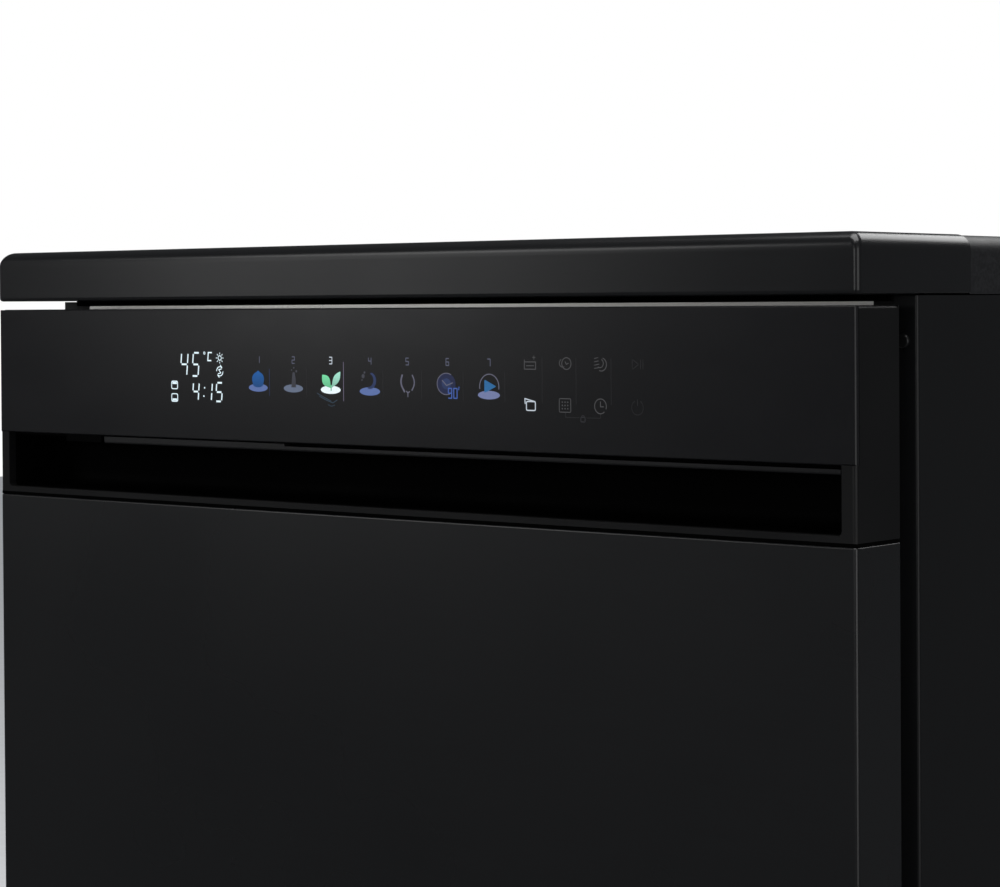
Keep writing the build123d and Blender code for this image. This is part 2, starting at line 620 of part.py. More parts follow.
def fascia():
    wall = 2.4
    with BuildPart() as moulding:
        slab(-DOOR_HALF, DOOR_HALF, FRONT, DOOR_BACK, FASCIA_BOTTOM, FASCIA_TOP)
        sides = moulding.edges().filter_by(Axis.Z).group_by(Axis.Y)[0]
        fillet(sides, 2.4)
        fillet(moulding.edges().filter_by(Axis.Y).group_by(Axis.Z)[-1], 1.8)
        inner = DOOR_HALF - wall
        slab(-inner, inner, -295, DOOR_BACK, FASCIA_BOTTOM + LIP_WALL, FASCIA_TOP - wall, Mode.SUBTRACT)
        glass_back = GLASS_FACE + GLASS_T
        slab(-DOOR_HALF, DOOR_HALF, FRONT, glass_back, GLASS_BOTTOM, FASCIA_TOP, Mode.SUBTRACT)
        slab(-RECESS_HALF, RECESS_HALF, FRONT, -290, RECESS_BOTTOM, GLASS_BOTTOM, Mode.SUBTRACT)
        frame_corners = moulding.edges().filter_by(Axis.Y).filter_by(
            lambda e: abs(abs(e.center().X) - RECESS_HALF) < 0.1 and abs(e.center().Z - RECESS_BOTTOM) < 0.1)
        fillet(frame_corners, FRAME_CORNER)
        slab(-170, 190, -298, -290, 752, 802, Mode.SUBTRACT)
        slab(-inner, inner, -297, -265, GLASS_BOTTOM, GLASS_BOTTOM + 2)
        slab(-LINER_HALF, LINER_HALF, DOOR_BACK - 1.2, DOOR_BACK, FASCIA_BOTTOM,
             FASCIA_BOTTOM + LIP_WALL, Mode.SUBTRACT)
        for s in (-1, 1):
            slab(s * LINER_HALF, s * DOOR_HALF, DOOR_BACK - SHEET, DOOR_BACK, FASCIA_BOTTOM, FASCIA_TOP)
            slab(s * 16, s * LINER_HALF, DOOR_BACK - SHEET, DOOR_BACK, LINER_TOP, FASCIA_TOP)
    keep(moulding, "fascia_moulding")

    with BuildPart() as glass:
        slab(-GLASS_HALF, GLASS_HALF, GLASS_FACE, GLASS_FACE + GLASS_T, GLASS_BOTTOM, FASCIA_TOP - 0.2)
        chamfer(glass.faces().sort_by(Axis.Y)[0].edges(), 0.5)
    keep(glass, "control_glass")

    with BuildPart() as pocket:
        slab(-292, 292, -295, -266, RECESS_BOTTOM - LIP_WALL, GLASS_BOTTOM - 0.1)
        slab(-RECESS_HALF, RECESS_HALF, -295, -268, RECESS_BOTTOM, GLASS_BOTTOM - 1.6, Mode.SUBTRACT)
        floor_edge = pocket.edges().filter_by(Axis.X).filter_by(
            lambda e: abs(e.center().Y + 268) < 0.1)
        fillet(floor_edge, 8)
        slab(-239, -209, -299.4, -295, 736.3, GLASS_BOTTOM - 0.1)
    keep(pocket, "handle_pocket")

    with BuildPart() as grip:
        slab(GRIP_X0, GRIP_STEP_X, -299.6, -295.2, GRIP_BOTTOM, GLASS_BOTTOM - 0.7)
        slab(GRIP_STEP_X, GRIP_X1, -299.6, -295.2, GRIP_BOTTOM, GLASS_BOTTOM - 2)
        slab(GRIP_X0, GRIP_X1, -295.2, -281, GRIP_BOTTOM, GLASS_BOTTOM - 2)
        fillet(grip.edges().filter_by(Axis.X).group_by(Axis.Z)[0].sort_by(Axis.Y)[0], 1)
    keep(grip, "handle_grip")

    with BuildPart() as board:
        slab(-168, 188, -289, -287, 750, 804)
        slab(-160, -98, -297, -289, 756, 796)
        slab(-92, 184, -297, -295.4, 756, 796)
        slab(-92, -88, -295.4, -289, 756, 796)
        slab(180, 184, -295.4, -289, 756, 796)
    keep(board, "control_board")


def door_liner():
    with BuildPart() as liner:
        slab(-LINER_HALF, LINER_HALF, LINER_BACK - SHEET, LINER_BACK, LINER_BOTTOM, LINER_TOP)
        with BuildSketch(Plane.XZ.offset(-LINER_BACK)):
            with Locations((0, 467.5)):
                RectangleRounded(512, 631, 22)
        extrude(amount=LINER_BACK - FIELD_FACE)
        with BuildSketch(Plane.XZ.offset(-LINER_BACK + SHEET)):
            with Locations((0, 467.5)):
                RectangleRounded(510, 629, 21)
        extrude(amount=LINER_BACK - FIELD_FACE, mode=Mode.SUBTRACT)
        for s in (-1, 1):
            slab(s * (LINER_HALF - SHEET), s * LINER_HALF, DOOR_BACK - SHEET, LINER_BACK,
                 LINER_BOTTOM, LINER_TOP)
        slab(-LINER_HALF, LINER_HALF, DOOR_BACK - SHEET, LINER_BACK, LINER_TOP - SHEET, LINER_TOP)
        slab(-LINER_HALF, LINER_HALF, DOOR_BACK - SHEET, LINER_BACK, LINER_BOTTOM, LINER_BOTTOM + SHEET)
        x0, x1, z0, z1 = DISPENSER
        slab(x0, x1, -255, -240, z0, z1, Mode.SUBTRACT)
    keep(liner, "door_inner_liner")

    with BuildPart() as dispenser:
        slab(x0, x1, -270, FIELD_FACE, z0, z1)
        slab(x0 - 6, x1 + 6, FIELD_FACE, -241.5, z0 - 6, z1 + 6)
        slab(-92, -12, -266, -240, 413, 500, Mode.SUBTRACT)
        rod("y", (RINSE_X, -262, RINSE_Z), 14, 25, Mode.SUBTRACT)
    keep(dispenser, "dispenser_body")

    with BuildPart() as lid:
        slab(-97, -7, -241.2, -238.6, 408, 505)
        slab(-30, -18, -238.6, -235.6, 440, 473)
        fillet(lid.edges().filter_by(Axis.Y).filter_by(lambda e: e.length < 2.7), 3)
    keep(lid, "dispenser_lid")

    with BuildPart() as cap:
        rod("y", (RINSE_X, -250, RINSE_Z), 14 - RUN, 8.5)
        rod("y", (RINSE_X, -241.5, RINSE_Z), 18, 4)
        slab(RINSE_X - 14, RINSE_X + 14, -237.5, -233.5, RINSE_Z - 2.5, RINSE_Z + 2.5)
    keep(cap, "rinse_aid_cap")


def latch():
    with BuildPart() as housing:
        slab(-34, 34, -286, -265, 784, FASCIA_TOP - 2.4)
        slab(-16, 16, -276, -264, 800, FASCIA_TOP, Mode.SUBTRACT)
    keep(housing, "door_latch")

    with BuildPart() as strike:
        slab(-12, 12, -271, CABINET_FRONT, 802, 808)
        slab(-8, 8, -267, CABINET_FRONT, 801, 809, Mode.SUBTRACT)
        fillet(strike.edges().filter_by(Axis.Z).group_by(Axis.Y)[0], 3)
    keep(strike, "latch_strike")


# ---- Hinges -------------------------------------------------------------------------------
def hinges():
    with BuildPart() as brackets:
        for s in (-1, 1):
            x0 = 274 if s > 0 else -278
            rod("x", (x0, HINGE_Y, HINGE_Z), 6, 4)
            slab(x0, x0 + 4, HINGE_Y, -206, HINGE_Z - 6, HINGE_Z + 6)
            slab(x0, x0 + 4, -224, -206, 70, 150)
            rod("x", (x0 - 1, HINGE_Y, HINGE_Z), 3, 6, Mode.SUBTRACT)
    keep(brackets, "hinge_brackets")

    with BuildPart() as pins:
        for s in (-1, 1):
            x0 = 273 if s > 0 else -284
            rod("x", (x0, HINGE_Y, HINGE_Z), 3, 11)
            rod("x", (272 if s > 0 else -274, HINGE_Y, HINGE_Z), 4.5, 2)
    keep(pins, "hinge_pins")

    with BuildPart() as arms:
        for s in (-1, 1):
            x0 = 279 if s > 0 else -283
            slab(x0, x0 + 4, DOOR_BACK, -251, 126, 205)
            rod("x", (x0 - 1, HINGE_Y, HINGE_Z), 3 + RUN, 6, Mode.SUBTRACT)
    keep(arms, "hinge_arms")

    with BuildPart() as springs:
        for s in (-1, 1):
            rod("y", (s * SPRING_X, SPRING_Y0, SPRING_Z), SPRING_R, SPRING_LEN)
            rod("y", (s * SPRING_X, SPRING_Y0 - 1, SPRING_Z), SPRING_R - 2.5, SPRING_LEN + 2, Mode.SUBTRACT)
    keep(springs, "door_springs")


worktop()
side_panels()
rear_panel()
kick_plate()
base_tray()
feet()
corner_blocks()
screws()
tub()
sump()
pumps()
softener()
rear_connections()
air_break()
spray_duct()
spray_arm("lower_spray_arm", ARM_Y, LOWER_ARM_R, POST_R, 172, 166)
spray_arm("upper_spray_arm", UPPER_ARM_Y, UPPER_ARM_R, UPPER_POST_R, 468, 469)
upper_basket()
rails()
lower_basket()
cutlery_basket()
door_shell()
fascia()
door_liner()
latch()
hinges()
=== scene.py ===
import json
import math

import bmesh
import bpy
from mathutils import Matrix, Vector


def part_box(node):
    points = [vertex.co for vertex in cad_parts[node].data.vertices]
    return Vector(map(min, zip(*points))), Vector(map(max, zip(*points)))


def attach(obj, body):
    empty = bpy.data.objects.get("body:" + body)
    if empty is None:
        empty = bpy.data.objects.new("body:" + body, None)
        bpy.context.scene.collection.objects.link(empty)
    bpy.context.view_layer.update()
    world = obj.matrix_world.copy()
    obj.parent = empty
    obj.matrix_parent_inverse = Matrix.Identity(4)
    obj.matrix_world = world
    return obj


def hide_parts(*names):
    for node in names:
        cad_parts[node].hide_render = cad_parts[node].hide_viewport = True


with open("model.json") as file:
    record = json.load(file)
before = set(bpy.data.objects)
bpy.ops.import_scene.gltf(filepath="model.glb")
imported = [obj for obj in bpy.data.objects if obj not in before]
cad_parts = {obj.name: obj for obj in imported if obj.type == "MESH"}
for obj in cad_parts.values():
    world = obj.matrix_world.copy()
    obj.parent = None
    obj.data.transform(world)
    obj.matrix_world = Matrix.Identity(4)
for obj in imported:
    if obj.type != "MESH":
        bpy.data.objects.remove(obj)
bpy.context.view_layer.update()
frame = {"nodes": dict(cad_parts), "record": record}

# Looks of a free-standing dishwasher: dark coated steel, black touch glass with lit symbols,
# a deep handle recess, and the steel tub, wire baskets and spray arms inside.
# Lengths are written in millimetres and scaled to metres where pieces are made.

MM = 0.001
FADE = (0.769, 0.781)      # heights, in metres, between which a fading symbol brightens
nodes = frame["nodes"]
behaviour = frame["record"]["behaviour"]
BODY_OF = {node: body for body, members in behaviour["bodies"].items() for node in members}
# The point on each turning body's axis, in millimetres.
PIVOT = {joint["child"]: tuple(v / MM for v in joint["pos_m"])
         for joint in behaviour["joints"] if joint["type"] == "hinge"}


def spread(first, last, count):
    """Evenly spaced numbers from first to last."""
    return [first + (last - first) * i / (count - 1) for i in range(count)]


def span(node):
    """A CAD node's box in millimetres: x0, x1, y0, y1, z0, z1."""
    lo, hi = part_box(node)
    return lo.x / MM, hi.x / MM, lo.y / MM, hi.y / MM, lo.z / MM, hi.z / MM


# ---- Mesh helpers ----
def add_object(name, data):
    """A new object in the scene."""
    made = bpy.data.objects.new(name, data)
    bpy.context.scene.collection.objects.link(made)
    return made


def settle(made, node, stands):
    """Make a piece move with a node's body; it stands for the node unless told otherwise."""
    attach(made, BODY_OF[node])
    if stands:
        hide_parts(node)


def piece(name, bm, material, node, smooth=30, bevel=0.0, segments=3, stands=True):
    """Turn a bmesh in millimetres into a shaded piece that goes with a CAD node."""
    bmesh.ops.recalc_face_normals(bm, faces=bm.faces)
    mesh = bpy.data.meshes.new(name)
    bmesh.ops.scale(bm, vec=(MM, MM, MM), verts=bm.verts)
    bm.to_mesh(mesh)
    bm.free()
    made = add_object(name, mesh)
    mesh.materials.append(material)
    if bevel:
        edge = made.modifiers.new("edges", "BEVEL")
        edge.width = bevel * MM
        edge.segments = segments
        edge.limit_method = "ANGLE"
        edge.angle_limit = math.radians(40)
    for face in mesh.polygons:
        face.use_smooth = True
    mesh.set_sharp_from_angle(angle=math.radians(smooth))
    settle(made, node, stands)


def add_block(bm, x0, x1, y0, y1, z0, z1):
    """A box between two corners."""
    size = Vector((x1 - x0, y1 - y0, z1 - z0))
    middle = Vector(((x0 + x1) / 2, (y0 + y1) / 2, (z0 + z1) / 2))
    bmesh.ops.create_cube(bm, size=1.0, matrix=Matrix.Translation(middle) @ Matrix.Diagonal((*size, 1.0)))


def add_mirrored(bm, inner, outer, y0, y1, z0, z1):
    """The same box on the right and on the left of the machine."""
    add_block(bm, inner, outer, y0, y1, z0, z1)
    add_block(bm, -outer, -inner, y0, y1, z0, z1)


def add_turned(bm, profile, centre, axis, steps):
    """A closed solid of revolution from (radius, height) points."""
    turn = {"z": Matrix.Identity(4), "y": Matrix.Rotation(-math.pi / 2, 4, "X"),
            "x": Matrix.Rotation(math.pi / 2, 4, "Y")}[axis]
    place = Matrix.Translation(Vector(centre)) @ turn
    rings = []
    for radius, height in profile:
        if radius < 1e-6:
            rings.append([bm.verts.new(place @ Vector((0, 0, height)))])
            continue
        ring = []
        for i in range(steps):
            a = 2 * math.pi * i / steps
            ring.append(bm.verts.new(place @ Vector((radius * math.cos(a), radius * math.sin(a), height))))
        rings.append(ring)
    for low, high in zip(rings, rings[1:]):
        for i in range(steps):
            j = (i + 1) % steps
            corners = [low[i % len(low)], low[j % len(low)], high[j % len(high)], high[i % len(high)]]
            unique = list(dict.fromkeys(corners))
            if len(unique) > 2:
                bm.faces.new(unique)


def add_prism(bm, outline, low, high, axis="z", centre=(0, 0, 0)):
    """A solid between two copies of a flat outline, along one axis."""
    place = {"z": lambda u, v, w: Vector((u, v, w)),
             "y": lambda u, v, w: Vector((u, w, v)),
             "x": lambda u, v, w: Vector((w, u, v))}[axis]
    bottom = [bm.verts.new(Vector(centre) + place(u, v, low)) for u, v in outline]
    top = [bm.verts.new(Vector(centre) + place(u, v, high)) for u, v in outline]
    bm.faces.new(bottom)
    bm.faces.new(top)
    for i in range(len(outline)):
        j = (i + 1) % len(outline)
        bm.faces.new((bottom[i], bottom[j], top[j], top[i]))


def knurled(radius, depth, teeth):
    """A round outline with shallow grip flutes."""
    steps = teeth * 4
    waves = [radius - depth * (0.5 - 0.5 * math.cos(math.pi * 0.5 * i)) for i in range(steps)]
    return [(r * math.cos(2 * math.pi * i / steps), r * math.sin(2 * math.pi * i / steps))
            for i, r in enumerate(waves)]


def rounded(points, radius, steps=5, closed=False):
    """A path whose corners are turned into arcs."""
    count = len(points)
    out = []
    for i, corner in enumerate(points):
        corner = Vector(corner)
        if not closed and i in (0, count - 1):
            out.append(corner)
            continue
        before = (Vector(points[i - 1]) - corner).normalized()
        after = (Vector(points[(i + 1) % count]) - corner).normalized()
        start, end = corner + before * radius, corner + after * radius
        for k in range(steps + 1):
            t = k / steps
            out.append(start * (1 - t) ** 2 + corner * 2 * t * (1 - t) + end * t ** 2)
    return out


def soft_outline(points, radius):
    """A closed flat outline with its corners rounded."""
    return [(p.x, p.y) for p in rounded([(u, v, 0) for u, v in points], radius, 4, closed=True)]


def wires(name, paths, radius, material, node, closed=()):
    """Round wires, one spline for each path."""
    curve = bpy.data.curves.new(name, "CURVE")
    curve.dimensions = "3D"
    curve.bevel_depth = radius * MM
    curve.bevel_resolution = 2
    curve.use_fill_caps = True
    for index, path in enumerate(paths):
        spline = curve.splines.new("POLY")
        spline.points.add(len(path) - 1)
        for point, place in zip(spline.points, path):
            point.co = (*(Vector(place) * MM), 1.0)
        spline.use_cyclic_u = index in closed
    made = add_object(name, curve)
    curve.materials.append(material)
    settle(made, node, True)


# ---- Material helpers ----
class Shader:
    """A principled material with short names for its node work."""

    def __init__(self, name, **values):
        self.material = bpy.data.materials.new(name)
        self.material.use_nodes = True
        self.tree = self.material.node_tree
        self.main = self.tree.nodes["Principled BSDF"]
        for socket, value in values.items():
            self.main.inputs[socket.replace("_", " ")].default_value = value
        self.coords = self.add("ShaderNodeTexCoord").outputs["Object"]

    def add(self, kind, **settings):
        node = self.tree.nodes.new(kind)
        for key, value in settings.items():
            setattr(node, key, value)
        return node

    def link(self, source, target):
        self.tree.links.new(source, target)

    def scaled(self, scale):
        """Object coordinates stretched by a scale for each axis."""
        mapping = self.add("ShaderNodeMapping")
        mapping.inputs["Scale"].default_value = scale
        self.link(self.coords, mapping.inputs["Vector"])
        return mapping.outputs["Vector"]

    def noise(self, scale=(1, 1, 1), size=100.0, detail=3.0, rough=0.5):
        node = self.add("ShaderNodeTexNoise")
        node.inputs["Scale"].default_value = size
        node.inputs["Detail"].default_value = detail
        node.inputs["Roughness"].default_value = rough
        self.link(self.scaled(scale), node.inputs["Vector"])
        return node.outputs["Fac"]

    def ramp(self, source, low, high, start=0.3, end=0.7):
        """A number that runs from low to high as source runs from start to end."""
        node = self.add("ShaderNodeMapRange")
        node.inputs["From Min"].default_value = start
        node.inputs["From Max"].default_value = end
        node.inputs["To Min"].default_value = low
        node.inputs["To Max"].default_value = high
        self.link(source, node.inputs["Value"])
        return node.outputs["Result"]

    def tint(self, source, dark, light):
        """A colour that runs between two as source runs from 0.3 to 0.7."""
        node = self.add("ShaderNodeValToRGB")
        node.color_ramp.elements[0].position = 0.3
        node.color_ramp.elements[1].position = 0.7
        node.color_ramp.elements[0].color = (*dark, 1)
        node.color_ramp.elements[1].color = (*light, 1)
        self.link(source, node.inputs["Fac"])
        self.link(node.outputs["Color"], self.main.inputs["Base Color"])

    def rough(self, source, low, high):
        self.link(self.ramp(source, low, high), self.main.inputs["Roughness"])

    def bump(self, source, height, before=None):
        node = self.add("ShaderNodeBump")
        node.inputs["Distance"].default_value = height * MM
        node.inputs["Strength"].default_value = 1.0
        self.link(source, node.inputs["Height"])
        if before is not None:
            self.link(before, node.inputs["Normal"])
        self.link(node.outputs["Normal"], self.main.inputs["Normal"])
        return node.outputs["Normal"]


def near(colour, factor):
    return tuple(min(1.0, c * factor) for c in colour)


def moulded(name, colour, roughness, grain, **values):
    """Moulded plastic: a fine spark-eroded grain, faint flow marks and uneven gloss."""
    shader = Shader(name, **values)
    flow = shader.noise(size=14, detail=2)
    fine = shader.noise(size=1600, detail=2)
    shader.tint(flow, near(colour, 0.88), near(colour, 1.12))
    shader.rough(flow, roughness - 0.05, roughness + 0.07)
    shader.bump(fine, grain)
    return shader.material


def coated_steel(name, colour, roughness, along, **values):
    """Dark coated steel: fine brushing under a clear coat, with slight orange peel."""
    shader = Shader(name, **values)
    brushed = shader.noise(scale=along, size=900, detail=4, rough=0.65)
    peel = shader.noise(size=220, detail=2)
    cloud = shader.noise(size=5, detail=3)
    shader.tint(brushed, near(colour, 0.85), near(colour, 1.2))
    shader.rough(cloud, roughness - 0.025, roughness + 0.035)
    first = shader.bump(peel, 0.004)
    shader.bump(brushed, 0.0025, before=first)
    return shader.material


def stainless(name, along, roughness, colour, metallic, **values):
    """Bright brushed stainless steel."""
    shader = Shader(name, Metallic=metallic, **values)
    brushed = shader.noise(scale=along, size=900, detail=5, rough=0.7)
    cloud = shader.noise(size=4, detail=1)
    shader.tint(brushed, near(colour, 0.88), near(colour, 1.1))
    shader.rough(cloud, roughness - 0.02, roughness + 0.03)
    shader.bump(brushed, 0.0015)
    return shader.material


def light_ink(name, colour, foot=None):
    """A lit symbol behind the glass; with a foot, it is dimmer at the bottom by that share."""
    shader = Shader(name, Roughness=0.3)
    shader.main.inputs["Base Color"].default_value = (0.004, 0.004, 0.005, 1)
    glow = shader.ramp(shader.noise(size=2600, detail=2), 0.9, 1.1)
    if foot is not None:
        split = shader.add("ShaderNodeSeparateXYZ")
        shader.link(shader.coords, split.inputs[0])
        fade = shader.add("ShaderNodeMath", operation="MULTIPLY")
        shader.link(shader.ramp(split.outputs["Z"], foot, 1.0, *FADE), fade.inputs[0])
        shader.link(glow, fade.inputs[1])
        glow = fade.outputs[0]
    shader.main.inputs["Emission Color"].default_value = (*colour, 1)
    shader.link(glow, shader.main.inputs["Emission Strength"])
    return shader.material


VERTICAL = (1.0, 1.0, 0.012)
ALONG_X = (0.012, 1.0, 1.0)
ALONG_Y = (1.0, 0.012, 1.0)

mat_door = coated_steel("door_coating", (0.0046, 0.0048, 0.0053), 0.28, ALONG_X, Specular_IOR_Level=0.74)
mat_side = coated_steel("side_coating", (0.0042, 0.0044, 0.0048), 0.36, VERTICAL, Specular_IOR_Level=0.40)
mat_trim = coated_steel("trim_lacquer", (0.0058, 0.0060, 0.0065), 0.24, ALONG_X, Specular_IOR_Level=0.5)
mat_black = moulded("black_moulding", (0.0034, 0.0034, 0.0036), 0.38, 0.012, Specular_IOR_Level=0.35)
# Near-black with almost no reflection: painted shade. It darkens the handle pocket, which is also real
# black plastic, and fills the jet slots and the gaps with shade.
mat_black_painted_shade = moulded("black_painted_shade_moulding", (0.0005, 0.0005, 0.0005), 0.62, 0.02, Specular_IOR_Level=0.04)
mat_grip = moulded("grip_moulding", (0.0055, 0.0055, 0.006), 0.34, 0.01)
mat_base = moulded("base_moulding", (0.016, 0.016, 0.017), 0.55, 0.05)
mat_grey = moulded("grey_moulding", (0.30, 0.315, 0.33), 0.42, 0.02)
mat_pale = moulded("pale_moulding", (0.62, 0.63, 0.63), 0.38, 0.02)
mat_blue = moulded("cap_moulding", (0.05, 0.16, 0.42), 0.36, 0.015)
mat_tub = stainless("tub_steel", ALONG_Y, 0.26, (0.78, 0.78, 0.77), 0.72)
mat_liner = stainless("liner_steel", VERTICAL, 0.25, (0.78, 0.78, 0.77), 0.72)
# The strip steel also glows faintly: painted light on the tub's front frame.
mat_strip_painted_glow = stainless("strip_steel_painted_glow", ALONG_X, 0.27, (0.90, 0.89, 0.86), 1.0,
                      Emission_Color=(1.0, 0.98, 0.94, 1), Emission_Strength=0.07)
mat_runner = stainless("runner_steel", ALONG_Y, 0.28, (0.72, 0.72, 0.71), 0.55)
mat_zinc = stainless("zinc_steel", VERTICAL, 0.45, (0.56, 0.57, 0.59), 0.5)
mat_black_steel = coated_steel("screw_black", (0.006, 0.006, 0.006), 0.3, ALONG_X)


def paint_underside_shade(material, height):
    """Below a height the reflection is turned off, so the underside stays black: painted shade."""
    tree = material.node_tree
    main = tree.nodes["Principled BSDF"]
    split = tree.nodes.new("ShaderNodeSeparateXYZ")
    tree.links.new(tree.nodes.new("ShaderNodeTexCoord").outputs["Object"], split.inputs[0])
    edge = tree.nodes.new("ShaderNodeMapRange")
    edge.inputs["From Min"].default_value = (height + 0.05) * MM
    edge.inputs["From Max"].default_value = (height + 0.4) * MM
    edge.inputs["To Max"].default_value = main.inputs["Specular IOR Level"].default_value
    tree.links.new(split.outputs["Z"], edge.inputs["Value"])
    tree.links.new(edge.outputs["Result"], main.inputs["Specular IOR Level"])


def make_glass():
    """Black backed glass: deep gloss with faint wiping marks."""
    shader = Shader("touch_glass", Specular_IOR_Level=0.40, IOR=1.5)
    wipe = shader.noise(scale=(0.6, 1, 1.6), size=16, detail=5, rough=0.6)
    dust = shader.noise(size=420, detail=3)
    shader.tint(dust, (0.0052, 0.0052, 0.0060), (0.0072, 0.0072, 0.0080))
    shader.rough(wipe, 0.20, 0.27)
    shader.bump(shader.noise(size=6, detail=1), 0.01)
    return shader.material


def make_worktop():
    """Dark laminate with a pearled fleck."""
    shader = Shader("worktop_laminate", Specular_IOR_Level=0.28)
    fleck = shader.add("ShaderNodeTexVoronoi")
    fleck.inputs["Scale"].default_value = 900
    shader.link(shader.coords, fleck.inputs["Vector"])
    cloud = shader.noise(size=22, detail=4)
    shader.tint(fleck.outputs["Color"], (0.0095, 0.0097, 0.0105), (0.016, 0.0163, 0.0175))
    shader.rough(cloud, 0.42, 0.50)
    shader.bump(shader.noise(size=900, detail=2), 0.004)
    return shader.material


def make_rubber():
    shader = Shader("seal_rubber", Sheen_Weight=0.2, Sheen_Roughness=0.5)
    marks = shader.noise(size=60, detail=4)
    shader.tint(marks, (0.012, 0.012, 0.012), (0.022, 0.022, 0.023))
    shader.rough(marks, 0.6, 0.78)
    shader.bump(shader.noise(size=900, detail=2), 0.03)
    return shader.material


def make_felt():
    shader = Shader("felt_pad", Sheen_Weight=0.5)
    fibres = shader.noise(scale=(1, 1, 0.3), size=600, detail=6, rough=0.8)
    shader.tint(fibres, (0.05, 0.05, 0.05), (0.13, 0.13, 0.125))
    shader.rough(fibres, 0.9, 0.98)
    shader.bump(fibres, 0.5)
    return shader.material


def make_board():
    """Circuit board with green lacquer and tinned tracks."""
    shader = Shader("circuit_board")
    tracks = shader.add("ShaderNodeTexBrick")
    tracks.inputs["Scale"].default_value = 220
    tracks.inputs["Color1"].default_value = (0.01, 0.09, 0.035, 1)
    tracks.inputs["Color2"].default_value = (0.012, 0.12, 0.05, 1)
    tracks.inputs["Mortar"].default_value = (0.35, 0.33, 0.28, 1)
    tracks.inputs["Mortar Size"].default_value = 0.008
    shader.link(shader.coords, tracks.inputs["Vector"])
    shader.link(tracks.outputs["Color"], shader.main.inputs["Base Color"])
    shader.rough(shader.noise(size=90), 0.3, 0.45)
    return shader.material


def make_filter_mesh():
    """Steel sheet with a fine grid of punched holes."""
    shader = Shader("filter_mesh", Metallic=1.0)
    holes = shader.add("ShaderNodeTexVoronoi")
    holes.inputs["Scale"].default_value = 380
    holes.inputs["Randomness"].default_value = 0.0
    shader.link(shader.coords, holes.inputs["Vector"])
    shape = shader.ramp(holes.outputs["Distance"], 0.0, 1.0, 0.28, 0.36)
    shader.tint(shape, (0.02, 0.02, 0.02), (0.56, 0.56, 0.55))
    shader.rough(shader.noise(size=60), 0.28, 0.4)
    shader.bump(shape, 0.3)
    return shader.material


def make_nylon():
    """Thick nylon coating on basket wire, softly speckled."""
    shader = Shader("nylon_wire", Coat_Weight=0.15, Coat_Roughness=0.25)
    speck = shader.noise(size=1400, detail=4)
    shader.tint(speck, (0.20, 0.205, 0.215), (0.29, 0.295, 0.31))
    shader.rough(speck, 0.34, 0.46)
    shader.bump(shader.noise(size=500, detail=2), 0.05)
    return shader.material


# The worktop trim's underside loses its reflection: painted shade.
paint_underside_shade(mat_trim, span("worktop_trim")[4])
mat_glass = make_glass()
mat_worktop = make_worktop()
mat_rubber = make_rubber()
mat_felt = make_felt()
mat_board = make_board()
mat_nylon = make_nylon()
mat_filter = make_filter_mesh()

NODE_MATERIALS = {
    mat_worktop: ("worktop_board",),
    mat_trim: ("worktop_trim",),
    mat_door: ("door_outer_panel",),
    mat_side: ("side_panel_left", "side_panel_right"),
    mat_black: ("fascia_moulding", "kick_plate", "front_corner_caps", "door_latch"),
    # The handle pocket is black plastic darkened further with painted shade.
    mat_black_painted_shade: ("handle_pocket",),
    mat_grip: ("handle_grip",),
    mat_glass: ("control_glass",),
    mat_board: ("control_board",),
    mat_base: ("base_tray", "foot_front_left", "foot_front_right", "foot_rear_left", "foot_rear_right"),
    mat_tub: ("tub_wrapper", "tub_back", "tub_floor"),
    mat_filter: ("filter_plate",),
    mat_liner: ("door_inner_liner",),
    mat_strip_painted_glow: ("tub_front_frame",),
    mat_runner: ("upper_rails", "upper_slides"),
    mat_zinc: ("rear_panel", "hinge_brackets", "hinge_arms", "hinge_pins", "latch_strike", "door_springs"),
    mat_black_steel: ("cabinet_screws",),
    mat_rubber: ("tub_seal",),
    mat_felt: ("insulation_jacket",),
    mat_grey: ("sump", "circulation_pump", "drain_pump", "spray_duct", "lower_spray_arm", "upper_spray_arm",
               "upper_feed_pipe", "filter_cylinder", "dispenser_body", "cutlery_basket", "front_wheels",
               "rear_wheels", "air_break"),
    mat_pale: ("water_softener", "inlet_valve", "drain_spigot", "mains_gland", "dispenser_lid"),
    mat_blue: ("salt_cap", "rinse_aid_cap"),
    mat_nylon: ("upper_basket", "lower_basket", "cup_shelf_left", "cup_shelf_right", "folding_tines"),
}
for material, names in NODE_MATERIALS.items():
    for name in names:
        mesh = nodes[name].data
        mesh.materials.clear()
        mesh.materials.append(material)


# ---- Baskets, arms and other inner pieces ----
RIM_WIRE = 2.3
THIN_WIRE = 1.5
BASKET_HALF, BASKET_FRONT, BASKET_REAR = 243, -222, 212
UPPER_FLOOR, UPPER_RIM = 500, 640
LOWER_FLOOR, LOWER_RIM = 200, 320
TINE_X = [-188.5 + 34 * i for i in range(10)]


